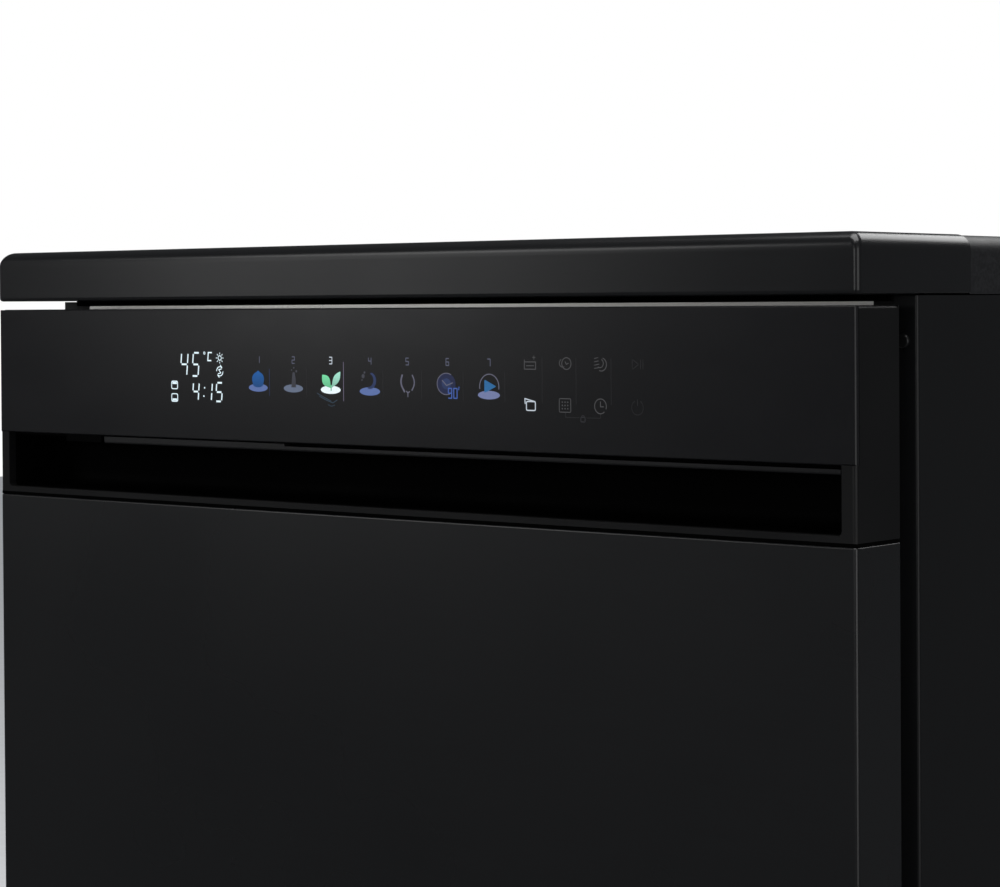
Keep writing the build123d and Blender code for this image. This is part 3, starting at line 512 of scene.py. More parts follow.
def basket(node, floor, rim):
    """A wire basket: two families of bent wires, hoops round them and a moulded bail in front."""
    x, low, top = BASKET_HALF - RIM_WIRE, floor + THIN_WIRE, rim - RIM_WIRE
    front, rear, upper = BASKET_FRONT + RIM_WIRE, BASKET_REAR - RIM_WIRE, low + 1.9
    bent = [rounded([(-x, y, top), (-x, y, low), (x, y, low), (x, y, top)], 14)
            for y in spread(front + 12, rear - 12, 13)]
    bent += [rounded([(u, front, top), (u, front, upper), (u, rear, upper), (u, rear, top)], 14)
             for u in spread(14 - x, x - 14, 15)]
    wires(f"{node}_bent_wires", bent, THIN_WIRE, mat_nylon, node)
    hoops = [rounded([(-x, front, h), (x, front, h), (x, rear, h), (-x, rear, h)], 20, 6, closed=True)
             for h in (top, floor + (rim - floor) * 0.36, floor + (rim - floor) * 0.68)]
    wires(f"{node}_rim", hoops[:1], RIM_WIRE, mat_nylon, node, closed=(0,))
    wires(f"{node}_hoops", hoops[1:], THIN_WIRE + 0.3, mat_nylon, node, closed=(0, 1))
    bow, reach = BASKET_FRONT - 4, 65.5
    bail = rounded([(-reach, bow, rim - 24), (reach, bow, rim - 24), (reach, bow, rim + 1.8),
                    (-reach, bow, rim + 1.8)], 9, 6, closed=True)
    wires(f"{node}_bail", [bail], 4.0, mat_grey, node, closed=(0,))
    plate = bmesh.new()
    add_block(plate, -60, 60, BASKET_FRONT - 5, BASKET_FRONT - 2.5, rim - 24, rim - 9)
    piece(f"{node}_bail_plate", plate, mat_grey, node, bevel=1.0)


def upper_rack():
    """The upper basket, its carriers on the slides and the clips that hold the cup shelves."""
    basket("upper_basket", UPPER_FLOOR, UPPER_RIM)
    carriers = bmesh.new()
    add_mirrored(carriers, BASKET_HALF, 251.5, -215, 205, 557, 567)
    for y in (-205, -70, 60, 180):
        add_mirrored(carriers, 239.5, 250.5, y, y + 16, 554, 570)
    piece("upper_basket_carriers", carriers, mat_grey, "upper_basket", bevel=1.6)
    clips = bmesh.new()
    for y in (-170, 160):
        add_mirrored(clips, 234.5, 241, y, y + 6, 592, 598.5)
    piece("upper_basket_shelf_clips", clips, mat_grey, "upper_basket", bevel=0.8)


def cup_shelf(side):
    """A folding shelf: a wire frame with thin bars, on a rod along its hinge."""
    node = f"cup_shelf_{side}"
    x, _, z = PIVOT[f"shelf_{side}"]
    front, rear, top = -178, 170, z + 84
    wires(f"{node}_pivot", [[(x, front - 2, z), (x, rear + 2, z)]], 2.2, mat_nylon, node)
    edge = rounded([(x, front, z + 1), (x, front, top), (x, rear, top), (x, rear, z + 1)], 14, 6)
    wires(f"{node}_frame", [edge], 1.7, mat_nylon, node)
    bars = [[(x, y, z), (x, y, top)] for y in spread(front, rear, 12)[1:-1]]
    bars += [[(x, front, h), (x, rear, h)] for h in (z + 28, z + 56)]
    wires(f"{node}_bars", bars, 1.2, mat_nylon, node)


def lower_rack():
    """The lower basket with a fixed and a folding row of tines."""
    basket("lower_basket", LOWER_FLOOR, LOWER_RIM)
    fixed_y, foot = -60, 204.8
    fixed = [[(-200, fixed_y, foot), (120, fixed_y, foot)]]
    fixed += [rounded([(x, fixed_y, foot), (x, fixed_y, 240), (x, fixed_y - 2, 278.4)], 12) for x in TINE_X]
    wires("lower_basket_fixed_tines", fixed, THIN_WIRE, mat_nylon, "lower_basket")
    _, y, z = PIVOT["tine_row"]
    wires("folding_tines_rod", [[(-205, y, z), (125, y, z)]], 1.5, mat_nylon, "folding_tines")
    folding = [[(x, y, z), (x, y, 280)] for x in TINE_X]
    wires("folding_tines_rods", folding, 1.45, mat_nylon, "folding_tines")
    tips = bmesh.new()
    for x in TINE_X:
        add_turned(tips, [(0, 281.4), (1.3, 281.1), (1.6, 279.6), (1.5, 277.5)], (x, y, 0), "z", 12)
    piece("folding_tine_tips", tips, mat_nylon, "folding_tines")


def wheel_hangers():
    """Grey hangers that widen upwards to clip on the lower basket, each with a short axle."""
    hangers, stubs = bmesh.new(), bmesh.new()
    for body in ("front_wheel_pair", "rear_wheel_pair"):
        _, y, z = PIVOT[body]
        low, high = z - 7, LOWER_FLOOR + 20
        shape = soft_outline([(y - 8, low), (y + 8, low), (y + 12, high), (y - 12, high)], 4)
        for inner, axle in ((-246, -258), (241.5, 246)):
            add_prism(hangers, shape, inner, inner + 4.5, "x")
            add_turned(stubs, [(0, 0), (2.9, 0), (2.9, 11.2), (2.3, 12), (0, 12)], (axle, y, z), "x", 24)
    piece("lower_basket_hangers", hangers, mat_grey, "lower_basket", bevel=0.8)
    piece("lower_basket_stubs", stubs, mat_grey, "lower_basket")


def wheels(end):
    """A pair of wheels, each a grooved tyre on six spokes and a hub."""
    tyre = [(14.2, 0.6), (17.2, 0), (18, 1), (18, 3.2), (17.2, 3.9), (17.2, 5.1), (18, 5.8),
            (18, 8), (17.2, 9), (14.2, 8.4), (14.2, 0.6)]
    hub = [(3.1, 0), (5.6, 0), (6.2, 0.6), (6.2, 8.4), (5.6, 9), (3.1, 9), (3.1, 0)]
    _, y, z = PIVOT[f"{end}_wheel_pair"]
    bm = bmesh.new()
    for x in (-256, 247):
        add_turned(bm, tyre, (x, y, z), "x", 56)
        add_turned(bm, hub, (x, y, z), "x", 32)
        for k in range(6):
            spoke = Matrix.Translation((x + 4.5, y, z)) @ Matrix.Rotation(math.pi * k / 3, 4, "X")
            spoke = spoke @ Matrix.Translation((0, 10.2, 0)) @ Matrix.Diagonal((4.4, 9.6, 2.2, 1.0))
            bmesh.ops.create_cube(bm, size=1.0, matrix=spoke)
    piece(f"{end}_spoked_wheels", bm, mat_grey, f"{end}_wheels", bevel=0.35, segments=2)


def cutlery():
    """The cutlery basket: slatted walls between solid bands, a floor grid and a carrying bow."""
    x0, x1, y0, y1, z0, z1 = 150, 232, -150, 102, 203, 325
    bm = bmesh.new()
    for low, high in ((z0, z0 + 7), (z0 + 50, z0 + 56), (z1 - 10, z1)):
        add_block(bm, x0, x1, y0, y0 + 2.4, low, high)
        add_block(bm, x0, x1, y1 - 2.4, y1, low, high)
        add_block(bm, x0, x0 + 2.4, y0 + 1, y1 - 1, low, high)
        add_block(bm, x1 - 2.4, x1, y0 + 1, y1 - 1, low, high)
    for y in spread(y0 + 2, y1 - 5, 29):
        for x in (x0 + 0.3, x1 - 2.1):
            add_block(bm, x, x + 1.8, y, y + 3.2, z0 + 3, z1 - 3)
    for x in spread(x0 + 2, x1 - 5, 10):
        for y in (y0 + 0.3, y1 - 2.1):
            add_block(bm, x, x + 3.2, y, y + 1.8, z0 + 3, z1 - 3)
    for y in spread(y0, y1, 4)[1:-1]:
        add_block(bm, x0 + 1, x1 - 1, y - 1, y + 1, z0 + 1, z1 - 8)
    middle = (x0 + x1) / 2
    add_block(bm, middle - 1, middle + 1, y0 + 1, y1 - 1, z0 + 1, z1 - 2)
    for y in spread(y0 + 3, y1 - 6, 26):
        add_block(bm, x0 + 1, x1 - 1, y, y + 3, z0, z0 + 2)
    for x in spread(x0 + 4, x1 - 7, 8):
        add_block(bm, x, x + 3, y0 + 1, y1 - 1, z0 + 0.2, z0 + 1.8)
    piece("cutlery_basket_cells", bm, mat_grey, "cutlery_basket", bevel=0.4, segments=2)
    bow = [(middle, -62, z1 - 7), (middle, -62, z1 + 61), (middle, 14, z1 + 61), (middle, 14, z1 - 7)]
    wires("cutlery_basket_bow", [rounded(bow, 18, 8)], 3.6, mat_grey, "cutlery_basket")


def add_blades(bm, y, z, radius):
    """Two tapering blades with round ends, tilted opposite ways."""
    rings = []
    for t in spread(-1, 1, 41):
        reach = abs(t)
        end = math.sqrt(max(0.0, 1 - max(0.0, (reach - 0.93) / 0.07) ** 2))
        half = (26 - 12 * reach) * (0.25 + 0.75 * end)
        tall = (5.8 - 1.6 * reach) * (0.3 + 0.7 * end)
        lean = 0.04 * (1 if t > 0 else -1) * min(1.0, reach * 4)
        ring = []
        for k in range(24):
            c, w = math.cos(2 * math.pi * k / 24), math.sin(2 * math.pi * k / 24)
            v = half * math.copysign(abs(c) ** 0.7, c)
            h = tall * math.copysign(abs(w) ** 0.8, w)
            ring.append(bm.verts.new((t * radius, y + v, z + h + lean * v)))
        rings.append(ring)
    for low, high in zip(rings, rings[1:]):
        for k in range(24):
            j = (k + 1) % 24
            bm.faces.new((low[k], low[j], high[j], high[k]))
    bm.faces.new(rings[0])
    bm.faces.new(rings[-1])


def spray(node, body, radius, post, jets):
    """A hollow spray arm: blades, a raised hub with a ribbed nut, and slotted jets; the slots are
    near-black blocks of painted shade.
    """
    _, y, z = PIVOT[body]
    blades = bmesh.new()
    add_blades(blades, y, z, radius)
    piece(f"{node}_blades", blades, mat_grey, node, smooth=40)
    hub = bmesh.new()
    add_turned(hub, [(post + 0.1, -10), (19, -10), (20, -9), (20, -5), (27, -3.6), (29, -2), (29, 3.5),
                     (27, 5), (21, 6.2), (20, 9.2), (18.6, 10), (0, 10)], (0, y, z), "z", 64)
    add_prism(hub, knurled(16, 1.2, 16), 9.4, 10, centre=(0, y, z))
    piece(f"{node}_hub", hub, mat_grey, node, smooth=35)
    bosses, slot_shades = bmesh.new(), bmesh.new()
    for k, share in enumerate(jets):
        for s in (-1, 1):
            x = s * share * radius
            side = y + (5 if (k + (s > 0)) % 2 else -5)
            top = z + (5.8 - 1.6 * share) * 0.94
            add_turned(bosses, [(0, -3), (4.6, -3), (4.2, 0.4), (3.6, 1.0), (2.4, 1.0), (0, 0.5)],
                       (x, side, top - 0.2), "z", 24)
            add_block(slot_shades, x - 2.1, x + 2.1, side - 0.5, side + 0.5, top - 0.6, top + 0.86)
    piece(f"{node}_jet_bosses", bosses, mat_pale, node)
    # The jet slots are dark blocks standing in for the shade inside the holes: painted shade.
    piece(f"{node}_jet_slot_painted_shade", slot_shades, mat_black_painted_shade, node)


def seal():
    """The door seal: a round bead with a thin lip in front of it and a web between them."""
    def run(x, y, top):
        return rounded([(-x, y, 153), (-x, y, top), (x, y, top), (x, y, 153)], 12, 8)

    x, top = 266, 791.4
    wires("tub_seal_bead", [run(x, -242, top)], 3.4, mat_rubber, "tub_seal")
    wires("tub_seal_lip", [run(x, -247.2, top)], 1.9, mat_rubber, "tub_seal")
    web = [run(x + out, -244.8, top + out) for out in (-1.8, 1.8)]
    wires("tub_seal_web", web, 1.5, mat_rubber, "tub_seal")


def springs():
    """Close-wound door springs in the base, with straight hooked ends."""
    turns, steps, radius, z = 58, 12, 7.4, 48
    coils = []
    for x in (-280, 280):
        path = [(x, -169, z), (x, -160, z)]
        for i in range(turns * steps + 1):
            a = 2 * math.pi * i / steps
            along = -158 + 206 * i / (turns * steps)
            path.append((x + radius * math.cos(a), along, z + radius * math.sin(a)))
        coils.append(path + [(x, 52, z), (x, 59, z)])
    wires("door_springs_coils", coils, 1.35, mat_zinc, "door_springs")


def salt_cap():
    """The softener's cap: a plug, a knurled rim, a dished top and a raised grip."""
    x, y, z = PIVOT["salt_lid"]
    bm = bmesh.new()
    add_turned(bm, [(0, -12), (35, -12), (36, -11), (36, 0)], (x, y, z), "z", 64)
    add_prism(bm, knurled(41, 1.1, 36), 0, 4.6, centre=(x, y, z))
    add_turned(bm, [(40, 4.4), (39.4, 5.6), (38, 6), (20, 5.4), (0, 5.4)], (x, y, z), "z", 64)
    add_block(bm, x - 34, x + 34, y - 3.6, y + 3.6, z + 4, z + 16)
    piece("salt_cap_knurled", bm, mat_blue, "salt_cap", bevel=0.9)


def rinse_cap():
    """The rinse-aid cap on the door's inside: a plug, a knurled rim and a raised grip."""
    x, y, z = PIVOT["rinse_cap"]
    bm = bmesh.new()
    add_turned(bm, [(0, -8.5), (13.4, -8.5), (13.9, -7.9), (13.9, 0)], (x, y, z), "y", 48)
    add_prism(bm, knurled(18, 0.7, 28), 0, 3.1, "y", (x, y, z))
    add_turned(bm, [(17.4, 2.9), (16.8, 3.7), (15.6, 4), (0, 4)], (x, y, z), "y", 48)
    add_block(bm, x - 13, x + 13, y + 3.5, y + 8, z - 2.6, z + 2.6)
    piece("rinse_cap_knurled", bm, mat_blue, "rinse_aid_cap", bevel=0.7)


def pressed_ribs():
    """Pressed stiffening ribs of the tub walls and of the rear panel."""
    inside = bmesh.new()
    for z in (372, 396, 420, 690, 714, 738):
        for inner, grow in ((269.2, 3.0), (268.7, 1.4)):
            add_mirrored(inside, inner, 270.2, -190 - grow, 215 + grow, z - grow - 1, z + grow + 1)
    for x in (90, 150, 210):
        add_mirrored(inside, x - 4, x + 4, 254.0, 255.2, 240, 720)
    piece("tub_pressed_ribs", inside, mat_tub, "tub_wrapper", bevel=0.5, stands=False)
    outside = bmesh.new()
    add_mirrored(outside, 239, 253, 283.8, 285.6, 190, 780)
    for z in (470, 540, 610, 680):
        add_block(outside, -205, 205, 283.8, 286.0, z - 9, z + 9)
    piece("rear_panel_pressed_ribs", outside, mat_zinc, "rear_panel", bevel=0.9, stands=False)


def painted_shade_fillers():
    """Near-black blocks between the cabinet and the worktop and in the gap over the door: painted shade
    that keeps these gaps dark.
    """
    low, top = 816.2, 817.4
    sides, front, gap = bmesh.new(), bmesh.new(), bmesh.new()
    add_mirrored(sides, 284, 297.6, -240, 281, low, top)
    add_block(sides, -284, 284, 276, 283, low, top)
    add_block(front, -285, 285, -251, -247, low - 2, top)
    # These fillers are painted shade: black blocks where the gaps are only dark.
    add_block(gap, -297.35, 297.35, -299.2, -263.6, 703.45, 705.15)
    for name, bm, node in (("worktop_painted_shade_strips", sides, "worktop_board"),
                           ("worktop_front_painted_shade", front, "worktop_board"),
                           ("door_gap_painted_shade", gap, "fascia_moulding")):
        piece(name, bm, mat_black_painted_shade, node, bevel=0.2, segments=2, stands=False)


upper_rack()
cup_shelf("left")
cup_shelf("right")
lower_rack()
wheel_hangers()
wheels("front")
wheels("rear")
cutlery()
spray("lower_spray_arm", "lower_arm", 218, 12, (0.30, 0.48, 0.66, 0.84))
spray("upper_spray_arm", "upper_arm", 205, 11, (0.34, 0.56, 0.80))
seal()
springs()
salt_cap()
rinse_cap()
pressed_ribs()
painted_shade_fillers()


# ---- Lit symbols of the touch glass ----
GLASS_Y = span("control_glass")[2]
LAYER = 0.045


def ink(name, shapes, material, layer=1):
    """Flat figures on the glass: each shape is a closed outline of (x, z) points."""
    bm = bmesh.new()
    for outline in shapes:
        front = [bm.verts.new((x, GLASS_Y - layer * LAYER, z)) for x, z in outline]
        back = [bm.verts.new((x, GLASS_Y + 0.05, z)) for x, z in outline]
        bm.faces.new(front)
        for i in range(len(outline)):
            j = (i + 1) % len(outline)
            bm.faces.new((front[i], back[i], back[j], front[j]))
    piece(name, bm, material, "control_glass", stands=False)


def stroke(points, width, closed=False):
    """Quads that cover a line of a given width, one for each run."""
    quads = []
    last = len(points) if closed else len(points) - 1
    for i in range(last):
        a, b = Vector(points[i]), Vector(points[(i + 1) % len(points)])
        along = (b - a).normalized() * (width * 0.3)
        side = Vector((-(b - a).y, (b - a).x)).normalized() * (width / 2)
        a, b = a - along, b + along
        quads.append([tuple(a + side), tuple(a - side), tuple(b - side), tuple(b + side)])
    return quads


def arc(cx, cz, radius, start, end, steps=14, squeeze=1.0):
    """Points on an arc, in degrees from +X, upwards."""
    turns = [math.radians(start + (end - start) * i / steps) for i in range(steps + 1)]
    return [(cx + radius * math.cos(a), cz + radius * squeeze * math.sin(a)) for a in turns]


def disc(cx, cz, radius, squeeze=1.0, steps=28):
    return arc(cx, cz, radius, 0, 360 - 360 / steps, steps - 1, squeeze)


def soft_frame(x0, x1, z0, z1, radius, width):
    """The line of a rectangle with rounded corners."""
    corners = [(x0, z0), (x1, z0), (x1, z1), (x0, z1)]
    return stroke(soft_outline(corners, radius), width, closed=True)


SEGMENTS = {"0": "abcdef", "1": "bc", "2": "abged", "3": "abgcd", "4": "fgbc", "5": "afgcd",
            "6": "afgedc", "7": "abc", "9": "gfabcd"}


def digit(char, x, z, width, height, line, lean=0.10, gap=0.9):
    """A seven-segment digit whose lower left corner is at x, z."""
    top, mid = height, height / 2
    ends = {"a": ((0, top), (width, top)), "g": ((0, mid), (width, mid)), "d": ((0, 0), (width, 0)),
            "f": ((0, top), (0, mid)), "b": ((width, top), (width, mid)),
            "e": ((0, mid), (0, 0)), "c": ((width, mid), (width, 0))}
    shapes = []
    for name in SEGMENTS[char]:
        a, b = (Vector(p) for p in ends[name])
        along = (b - a).normalized() * line * gap
        a, b = a + along, b - along
        thick = line if name in "agd" else line * 0.85
        shapes += stroke([(x + a.x + lean * a.y, z + a.y), (x + b.x + lean * b.y, z + b.y)], thick)
    return shapes


WHITE = light_ink("ink_white", (0.78, 0.93, 1.0))
BRIGHT = light_ink("ink_bright", (0.53, 0.59, 0.66))
DISC_LIGHT = light_ink("ink_disc", (0.84, 0.95, 1.0))
LABEL = light_ink("ink_label", (0.085, 0.092, 0.14))
KEY = light_ink("ink_key", (0.060, 0.060, 0.063))
FAINT = light_ink("ink_faint", (0.011, 0.011, 0.012))
LOCK = light_ink("ink_lock", (0.026, 0.026, 0.030))
GREEN = light_ink("ink_green", (0.22, 0.88, 0.46), 0.45)
MINT = light_ink("ink_mint", (0.44, 0.93, 0.74), 0.40)
TEAL = light_ink("ink_teal", (0.030, 0.058, 0.090))
BLUE = light_ink("ink_blue", (0.006, 0.105, 0.37), 0.45)
MOON = light_ink("ink_moon", (0.022, 0.042, 0.13), 0.6)
LILAC = light_ink("ink_lilac", (0.095, 0.15, 0.36))
SMOKE = light_ink("ink_smoke", (0.05, 0.052, 0.068), 0.5)
ASH = light_ink("ink_ash", (0.115, 0.145, 0.215))
SILVER = light_ink("ink_silver", (0.115, 0.115, 0.16))
PEARL = light_ink("ink_pearl", (0.155, 0.185, 0.35))
NAVY = light_ink("ink_navy", (0.008, 0.013, 0.050))
AZURE = light_ink("ink_azure", (0.05, 0.105, 0.36))
PLAY = light_ink("ink_play", (0.018, 0.125, 0.31))
PURPLE = light_ink("ink_purple", (0.13, 0.11, 0.17))


def display():
    """Temperature 45, time 4:15 and four small indicator marks, left of the programs."""
    line = 1.0
    shapes = digit("4", -142.4, 775.3, 5.2, 12.8, line) + digit("5", -133.0, 775.3, 4.9, 12.8, line)
    shapes += digit("4", -132.8, 761.6, 4.6, 10.2, line) + digit("1", -122.4, 761.6, 4.6, 10.2, line)
    shapes += digit("5", -114.4, 761.6, 4.7, 10.2, line)
    shapes += [disc(-123.6, 764.3, 0.5), disc(-123.0, 768.9, 0.5)]
    shapes += stroke(arc(-123.0, 788.0, 0.62, 0, 360, 10), 0.4)
    shapes += stroke([(-117.3, 788.3), (-119.9, 788.3), (-120.3, 783.9), (-117.8, 783.9)], 0.75)
    ink("display_digits", shapes, WHITE)
    x, z = -110.9, 785.4
    sun = stroke(arc(x, z, 1.25, 0, 360, 16), 0.45)
    for k in range(8):
        c, w = math.cos(math.radians(45 * k)), math.sin(math.radians(45 * k))
        sun += stroke([(x + 2.1 * c, z + 2.1 * w), (x + 2.9 * c, z + 2.9 * w)], 0.42)
    z = 778.1
    cycle = stroke(arc(x, z, 2.5, 50, 175, 9), 0.5) + stroke(arc(x, z, 2.5, 230, 355, 9), 0.5)
    cycle += stroke([(x + 1.3, z + 1.3), (x - 0.9, z + 0.9), (x + 0.9, z - 0.9), (x - 1.3, z - 1.3)], 0.5)
    cycle += stroke([(x + 0.5, z + 3.3), (x + 1.7, z + 2.1)], 0.5)
    cycle += stroke([(x - 0.5, z - 3.3), (x - 1.7, z - 2.1)], 0.5)
    racks = []
    for cz, bar in ((770.1, 1), (763.1, -1)):
        racks += soft_frame(-149.4, -144.6, cz - 2.1, cz + 2.1, 1.0, 0.55)
        racks += stroke([(-148.4, cz + bar * 1.1), (-145.6, cz + bar * 1.1)], 1.2)
    ink("display_marks", sun + cycle + racks, WHITE)


def leaf(base, tip, swell, steps=12):
    """A pointed leaf between two points."""
    a, b = Vector(base), Vector(tip)
    side = Vector((-(b - a).y, (b - a).x)).normalized()
    reach = [swell * math.sin(math.pi * (i / steps) ** 1.2) for i in range(1, steps)]
    left = [tuple(a.lerp(b, (i + 1) / steps) + side * r) for i, r in enumerate(reach)]
    right = [tuple(a.lerp(b, (i + 1) / steps) - side * r) for i, r in enumerate(reach)]
    return [tuple(a)] + left + [tuple(b)] + list(reversed(right))


PROGRAM_X = (-80.9, -54.4, -26.9, 1.2, 27.4, 54.8, 82.3)
CHOSEN = 2
DISC_Z = 769.6


def program_marks():
    """The numbers over the pictures, and the lit discs under five of them."""
    for index, x in enumerate(PROGRAM_X):
        number = digit(str(index + 1), x - 1.2, 783.0, 1.9, 3.5, 0.5, 0.0, 0.1)
        ink(f"program_number_{index + 1}", number, BRIGHT if index == CHOSEN else LABEL)
    for index, light, drop in ((0, LILAC, 0.0), (1, ASH, 0.0), (2, DISC_LIGHT, 0.3), (3, LILAC, 0.7),
                               (6, PEARL, 1.2)):
        ink(f"program_disc_{index + 1}", [disc(PROGRAM_X[index] - 0.3, DISC_Z - drop, 7.2, 0.30)], light)


def picture_drop(x, z):
    drop = (arc(x - 0.6, z + 4.6, 4.3, 200, 105, 10, 0.9) + [(x - 0.4, z + 9.3)]
            + arc(x - 0.2, z + 4.6, 4.3, 70, -20, 10, 0.9) + arc(x - 0.4, z + 1.8, 3.9, 0, -180, 10, 0.42))
    ink("program_drop", [drop], BLUE, 2)


def picture_steam(x, z):
    jet = [(x - 1.7, z + 0.6), (x + 1.7, z + 0.6), (x + 1.5, z + 5), (x + 0.7, z + 8.6), (x - 0.7, z + 8.6),
           (x - 1.3, z + 5)]
    puffs = [disc(x + 2.0, z + 9.2, 0.6), disc(x + 0.2, z + 11, 0.45), disc(x - 1.6, z + 9.8, 0.4)]
    ink("program_steam", [jet] + puffs, SMOKE, 2)


def picture_leaves(x, z):
    """Two leaves on a stem, the chevrons under them and a bar beside them: the chosen program."""
    ink("program_leaf_left", [leaf((x - 0.1, z + 0.5), (x - 6.4, z + 7.6), 2.7)], GREEN, 2)
    ink("program_leaf_right", [leaf((x + 0.3, z + 0.6), (x + 6.7, z + 9.4), 2.1)], MINT, 2)
    ink("program_stem", stroke([(x + 0.1, z - 0.6), (x + 0.1, z + 2.0)], 0.7), GREEN, 3)
    chevrons = stroke([(x - 10.2, z - 2.2), (x - 5.5, z - 4.2), (x - 0.2, z - 6.2)], 0.3)
    lower = [(x - 8.6, z - 3.8), (x - 3.5, z - 5.8), (x + 1.2, z - 7.2), (x + 4.3, z - 5.6)]
    chevrons += stroke(lower, 0.34)
    chevrons += stroke([(x - 2.2, z - 8.2), (x + 0.3, z - 9.0), (x + 2.8, z - 8.2)], 0.26)
    ink("program_chevrons", chevrons, TEAL)
    ink("program_bar", stroke([(x + 9.0, z - 6.0), (x + 9.0, z + 14.4)], 0.4), PURPLE)


def picture_moon(x, z):
    moon = arc(x - 0.1, z + 4.9, 4.3, 78, -112, 16) + arc(x - 1.2, z + 5.2, 3.5, -95, 70, 14)
    ink("program_moon", [moon], MOON, 2)
    bubbles = [disc(x - 5.0, z + 7.2, 1.1), disc(x - 4.0, z + 9.1, 0.6), disc(x - 5.8, z + 5.2, 0.5)]
    ink("program_bubbles", bubbles, SMOKE, 2)


def picture_wine_glass(x, z):
    left = rounded([(x - 3.7, z + 8.1, 0), (x - 5.4, z + 4.2, 0), (x - 2.2, z - 0.4, 0)], 3.4, 8)
    right = rounded([(x + 3.2, z + 8.1, 0), (x + 5.4, z + 4.2, 0), (x + 2.9, z + 0.4, 0)], 3.2, 8)
    bowl = stroke([(q.x, q.y) for q in left], 1.0) + stroke([(q.x, q.y) for q in right], 0.75)
    bowl += stroke([(x - 0.9, z - 0.2), (x + 0.1, z - 1.0), (x + 1.3, z - 0.3)], 0.6)
    bowl += stroke([(x + 0.1, z - 1.2), (x + 0.1, z - 3.0)], 0.55)
    ink("program_wine_glass", bowl, SILVER)


def picture_clock(x, z):
    """A round clock face with two hands, and 90 with a minute mark."""
    cx, cz = x - 1.0, z + 4.0
    ink("program_clock_face", [disc(cx, cz, 6.2, 0.88)], NAVY)
    ink("program_clock_glow", [disc(cx, cz, 3.1, 0.9)], MOON, 2)
    face = stroke(arc(cx, cz, 6.2, 60, 290, 24, 0.88), 0.4)
    face += stroke([(x - 3.8, z + 5.8), (x - 0.8, z + 3.2), (x + 3.2, z + 4.6)], 0.5)
    ink("program_clock_hands", face, SILVER, 3)
    ninety = digit("9", x + 0.4, z - 3.2, 2.2, 5.0, 0.62, 0.0, 0.2)
    ninety += digit("0", x + 4.0, z - 3.2, 2.2, 5.0, 0.62, 0.0, 0.2)
    ninety += stroke([(x + 7.5, z + 2.6), (x + 7.3, z + 1.1)], 0.45)
    ink("program_minutes", ninety, AZURE, 4)


def picture_play(x, z):
    ink("program_ring", stroke(arc(x, z + 3.0, 6.3, -10, 190, 24), 0.5), SILVER, 2)
    play = [(x - 3.2, z + 6.6), (x - 3.2, z - 0.2), (x + 4.6, z + 3.2)]
    ink("program_play", [soft_outline(play, 0.9)], PLAY, 2)


def program_rules():
    """Fine upright lines between the programs."""
    rules = []
    for index, gap in ((1, 9.6), (3, 9.0), (4, 9.6), (5, 10.2), (6, 10.2)):
        x = PROGRAM_X[index] + gap
        rules += stroke([(x, DISC_Z - 4.4), (x, DISC_Z + 10.6)], 0.3)
    ink("program_rules", rules, FAINT)
    x = PROGRAM_X[0] + 8.2
    ink("program_rule_blue", stroke([(x, DISC_Z - 4.2), (x, DISC_Z + 10.0)], 0.3), MOON)


PICTURES = (picture_drop, picture_steam, picture_leaves, picture_moon, picture_wine_glass, picture_clock,
            picture_play)

KEY_X = (108.7, 130.7, 152.6, 175.0)
KEY_TOP = 784.7
KEY_LOW = 764.2


def rack_lines(x, z):
    """A rack with a plus over its right corner."""
    lines = stroke([(x - 3.6, z + 1.6), (x - 3.6, z - 3), (x + 3.6, z - 3), (x + 3.6, z + 0.6),
                    (x - 3.6, z + 0.6)], 0.45)
    lines += stroke([(x - 2.4, z - 1.3), (x + 2.4, z - 1.3)], 0.4)
    lines += stroke([(x + 1.6, z + 2.8), (x + 3.4, z + 2.8)], 0.35)
    return lines + stroke([(x + 2.5, z + 1.9), (x + 2.5, z + 3.7)], 0.35)


def dial_lines(x, z):
    lines = stroke(arc(x + 1.0, z, 2.9, 0, 360, 20), 0.45)
    lines += stroke(arc(x - 1.4, z + 0.2, 2.0, 120, 300, 10), 0.4)
    return lines + stroke([(x + 0.2, z + 0.9), (x + 1.0, z - 0.4), (x + 2.2, z + 0.2)], 0.4)


def dry_lines(x, z):
    lines = stroke(arc(x + 0.6, z - 0.2, 3.2, -110, 70, 14), 0.45)
    lines += stroke(arc(x - 0.2, z + 0.3, 2.1, -120, 60, 12), 0.4)
    for k in range(4):
        rise = z + 2.6 - 1.6 * k
        lines += stroke([(x - 3.6, rise), (x - 1.4 + 0.3 * k, rise + 0.5)], 0.35)
    return lines


def tablet_lines(x, z):
    """A tablet: a rounded square with nine dots."""
    dots = [disc(x + 1.7 * (i % 3 - 1), z + 1.6 * (i // 3 - 1), 0.38, 1.0, 10) for i in range(9)]
    return soft_frame(x - 3.6, x + 3.6, z - 3.3, z + 3.3, 0.7, 0.4) + dots


def clock_lines(x, z):
    hands = stroke([(x, z + 2.2), (x, z - 0.2), (x + 1.9, z - 0.2)], 0.45)
    return stroke(arc(x, z, 3.6, -20, 310, 24), 0.45) + hands


def open_door_lines(x, z):
    lid = stroke([(x + 3.0, z + 1.5), (x - 3.4, z + 2.9), (x - 3.2, z + 0.4)], 0.55)
    return soft_frame(x - 2.4, x + 3.3, z - 2.9, z + 1.5, 0.8, 0.55) + lid


def start_lines(x, z):
    go = [(x - 3, z - 2.4), (x + 0.8, z), (x - 3, z + 2.4)]
    lines = stroke(soft_outline(go, 0.4), 0.4, closed=True)
    for bar in (x + 2, x + 3.4):
        lines += stroke([(bar, z - 2.2), (bar, z + 2.2)], 0.4)
    return lines


def power_lines(x, z):
    return stroke(arc(x, z - 0.2, 3.5, 120, 420, 22), 0.45) + stroke([(x, z + 0.8), (x, z + 3.6)], 0.45)


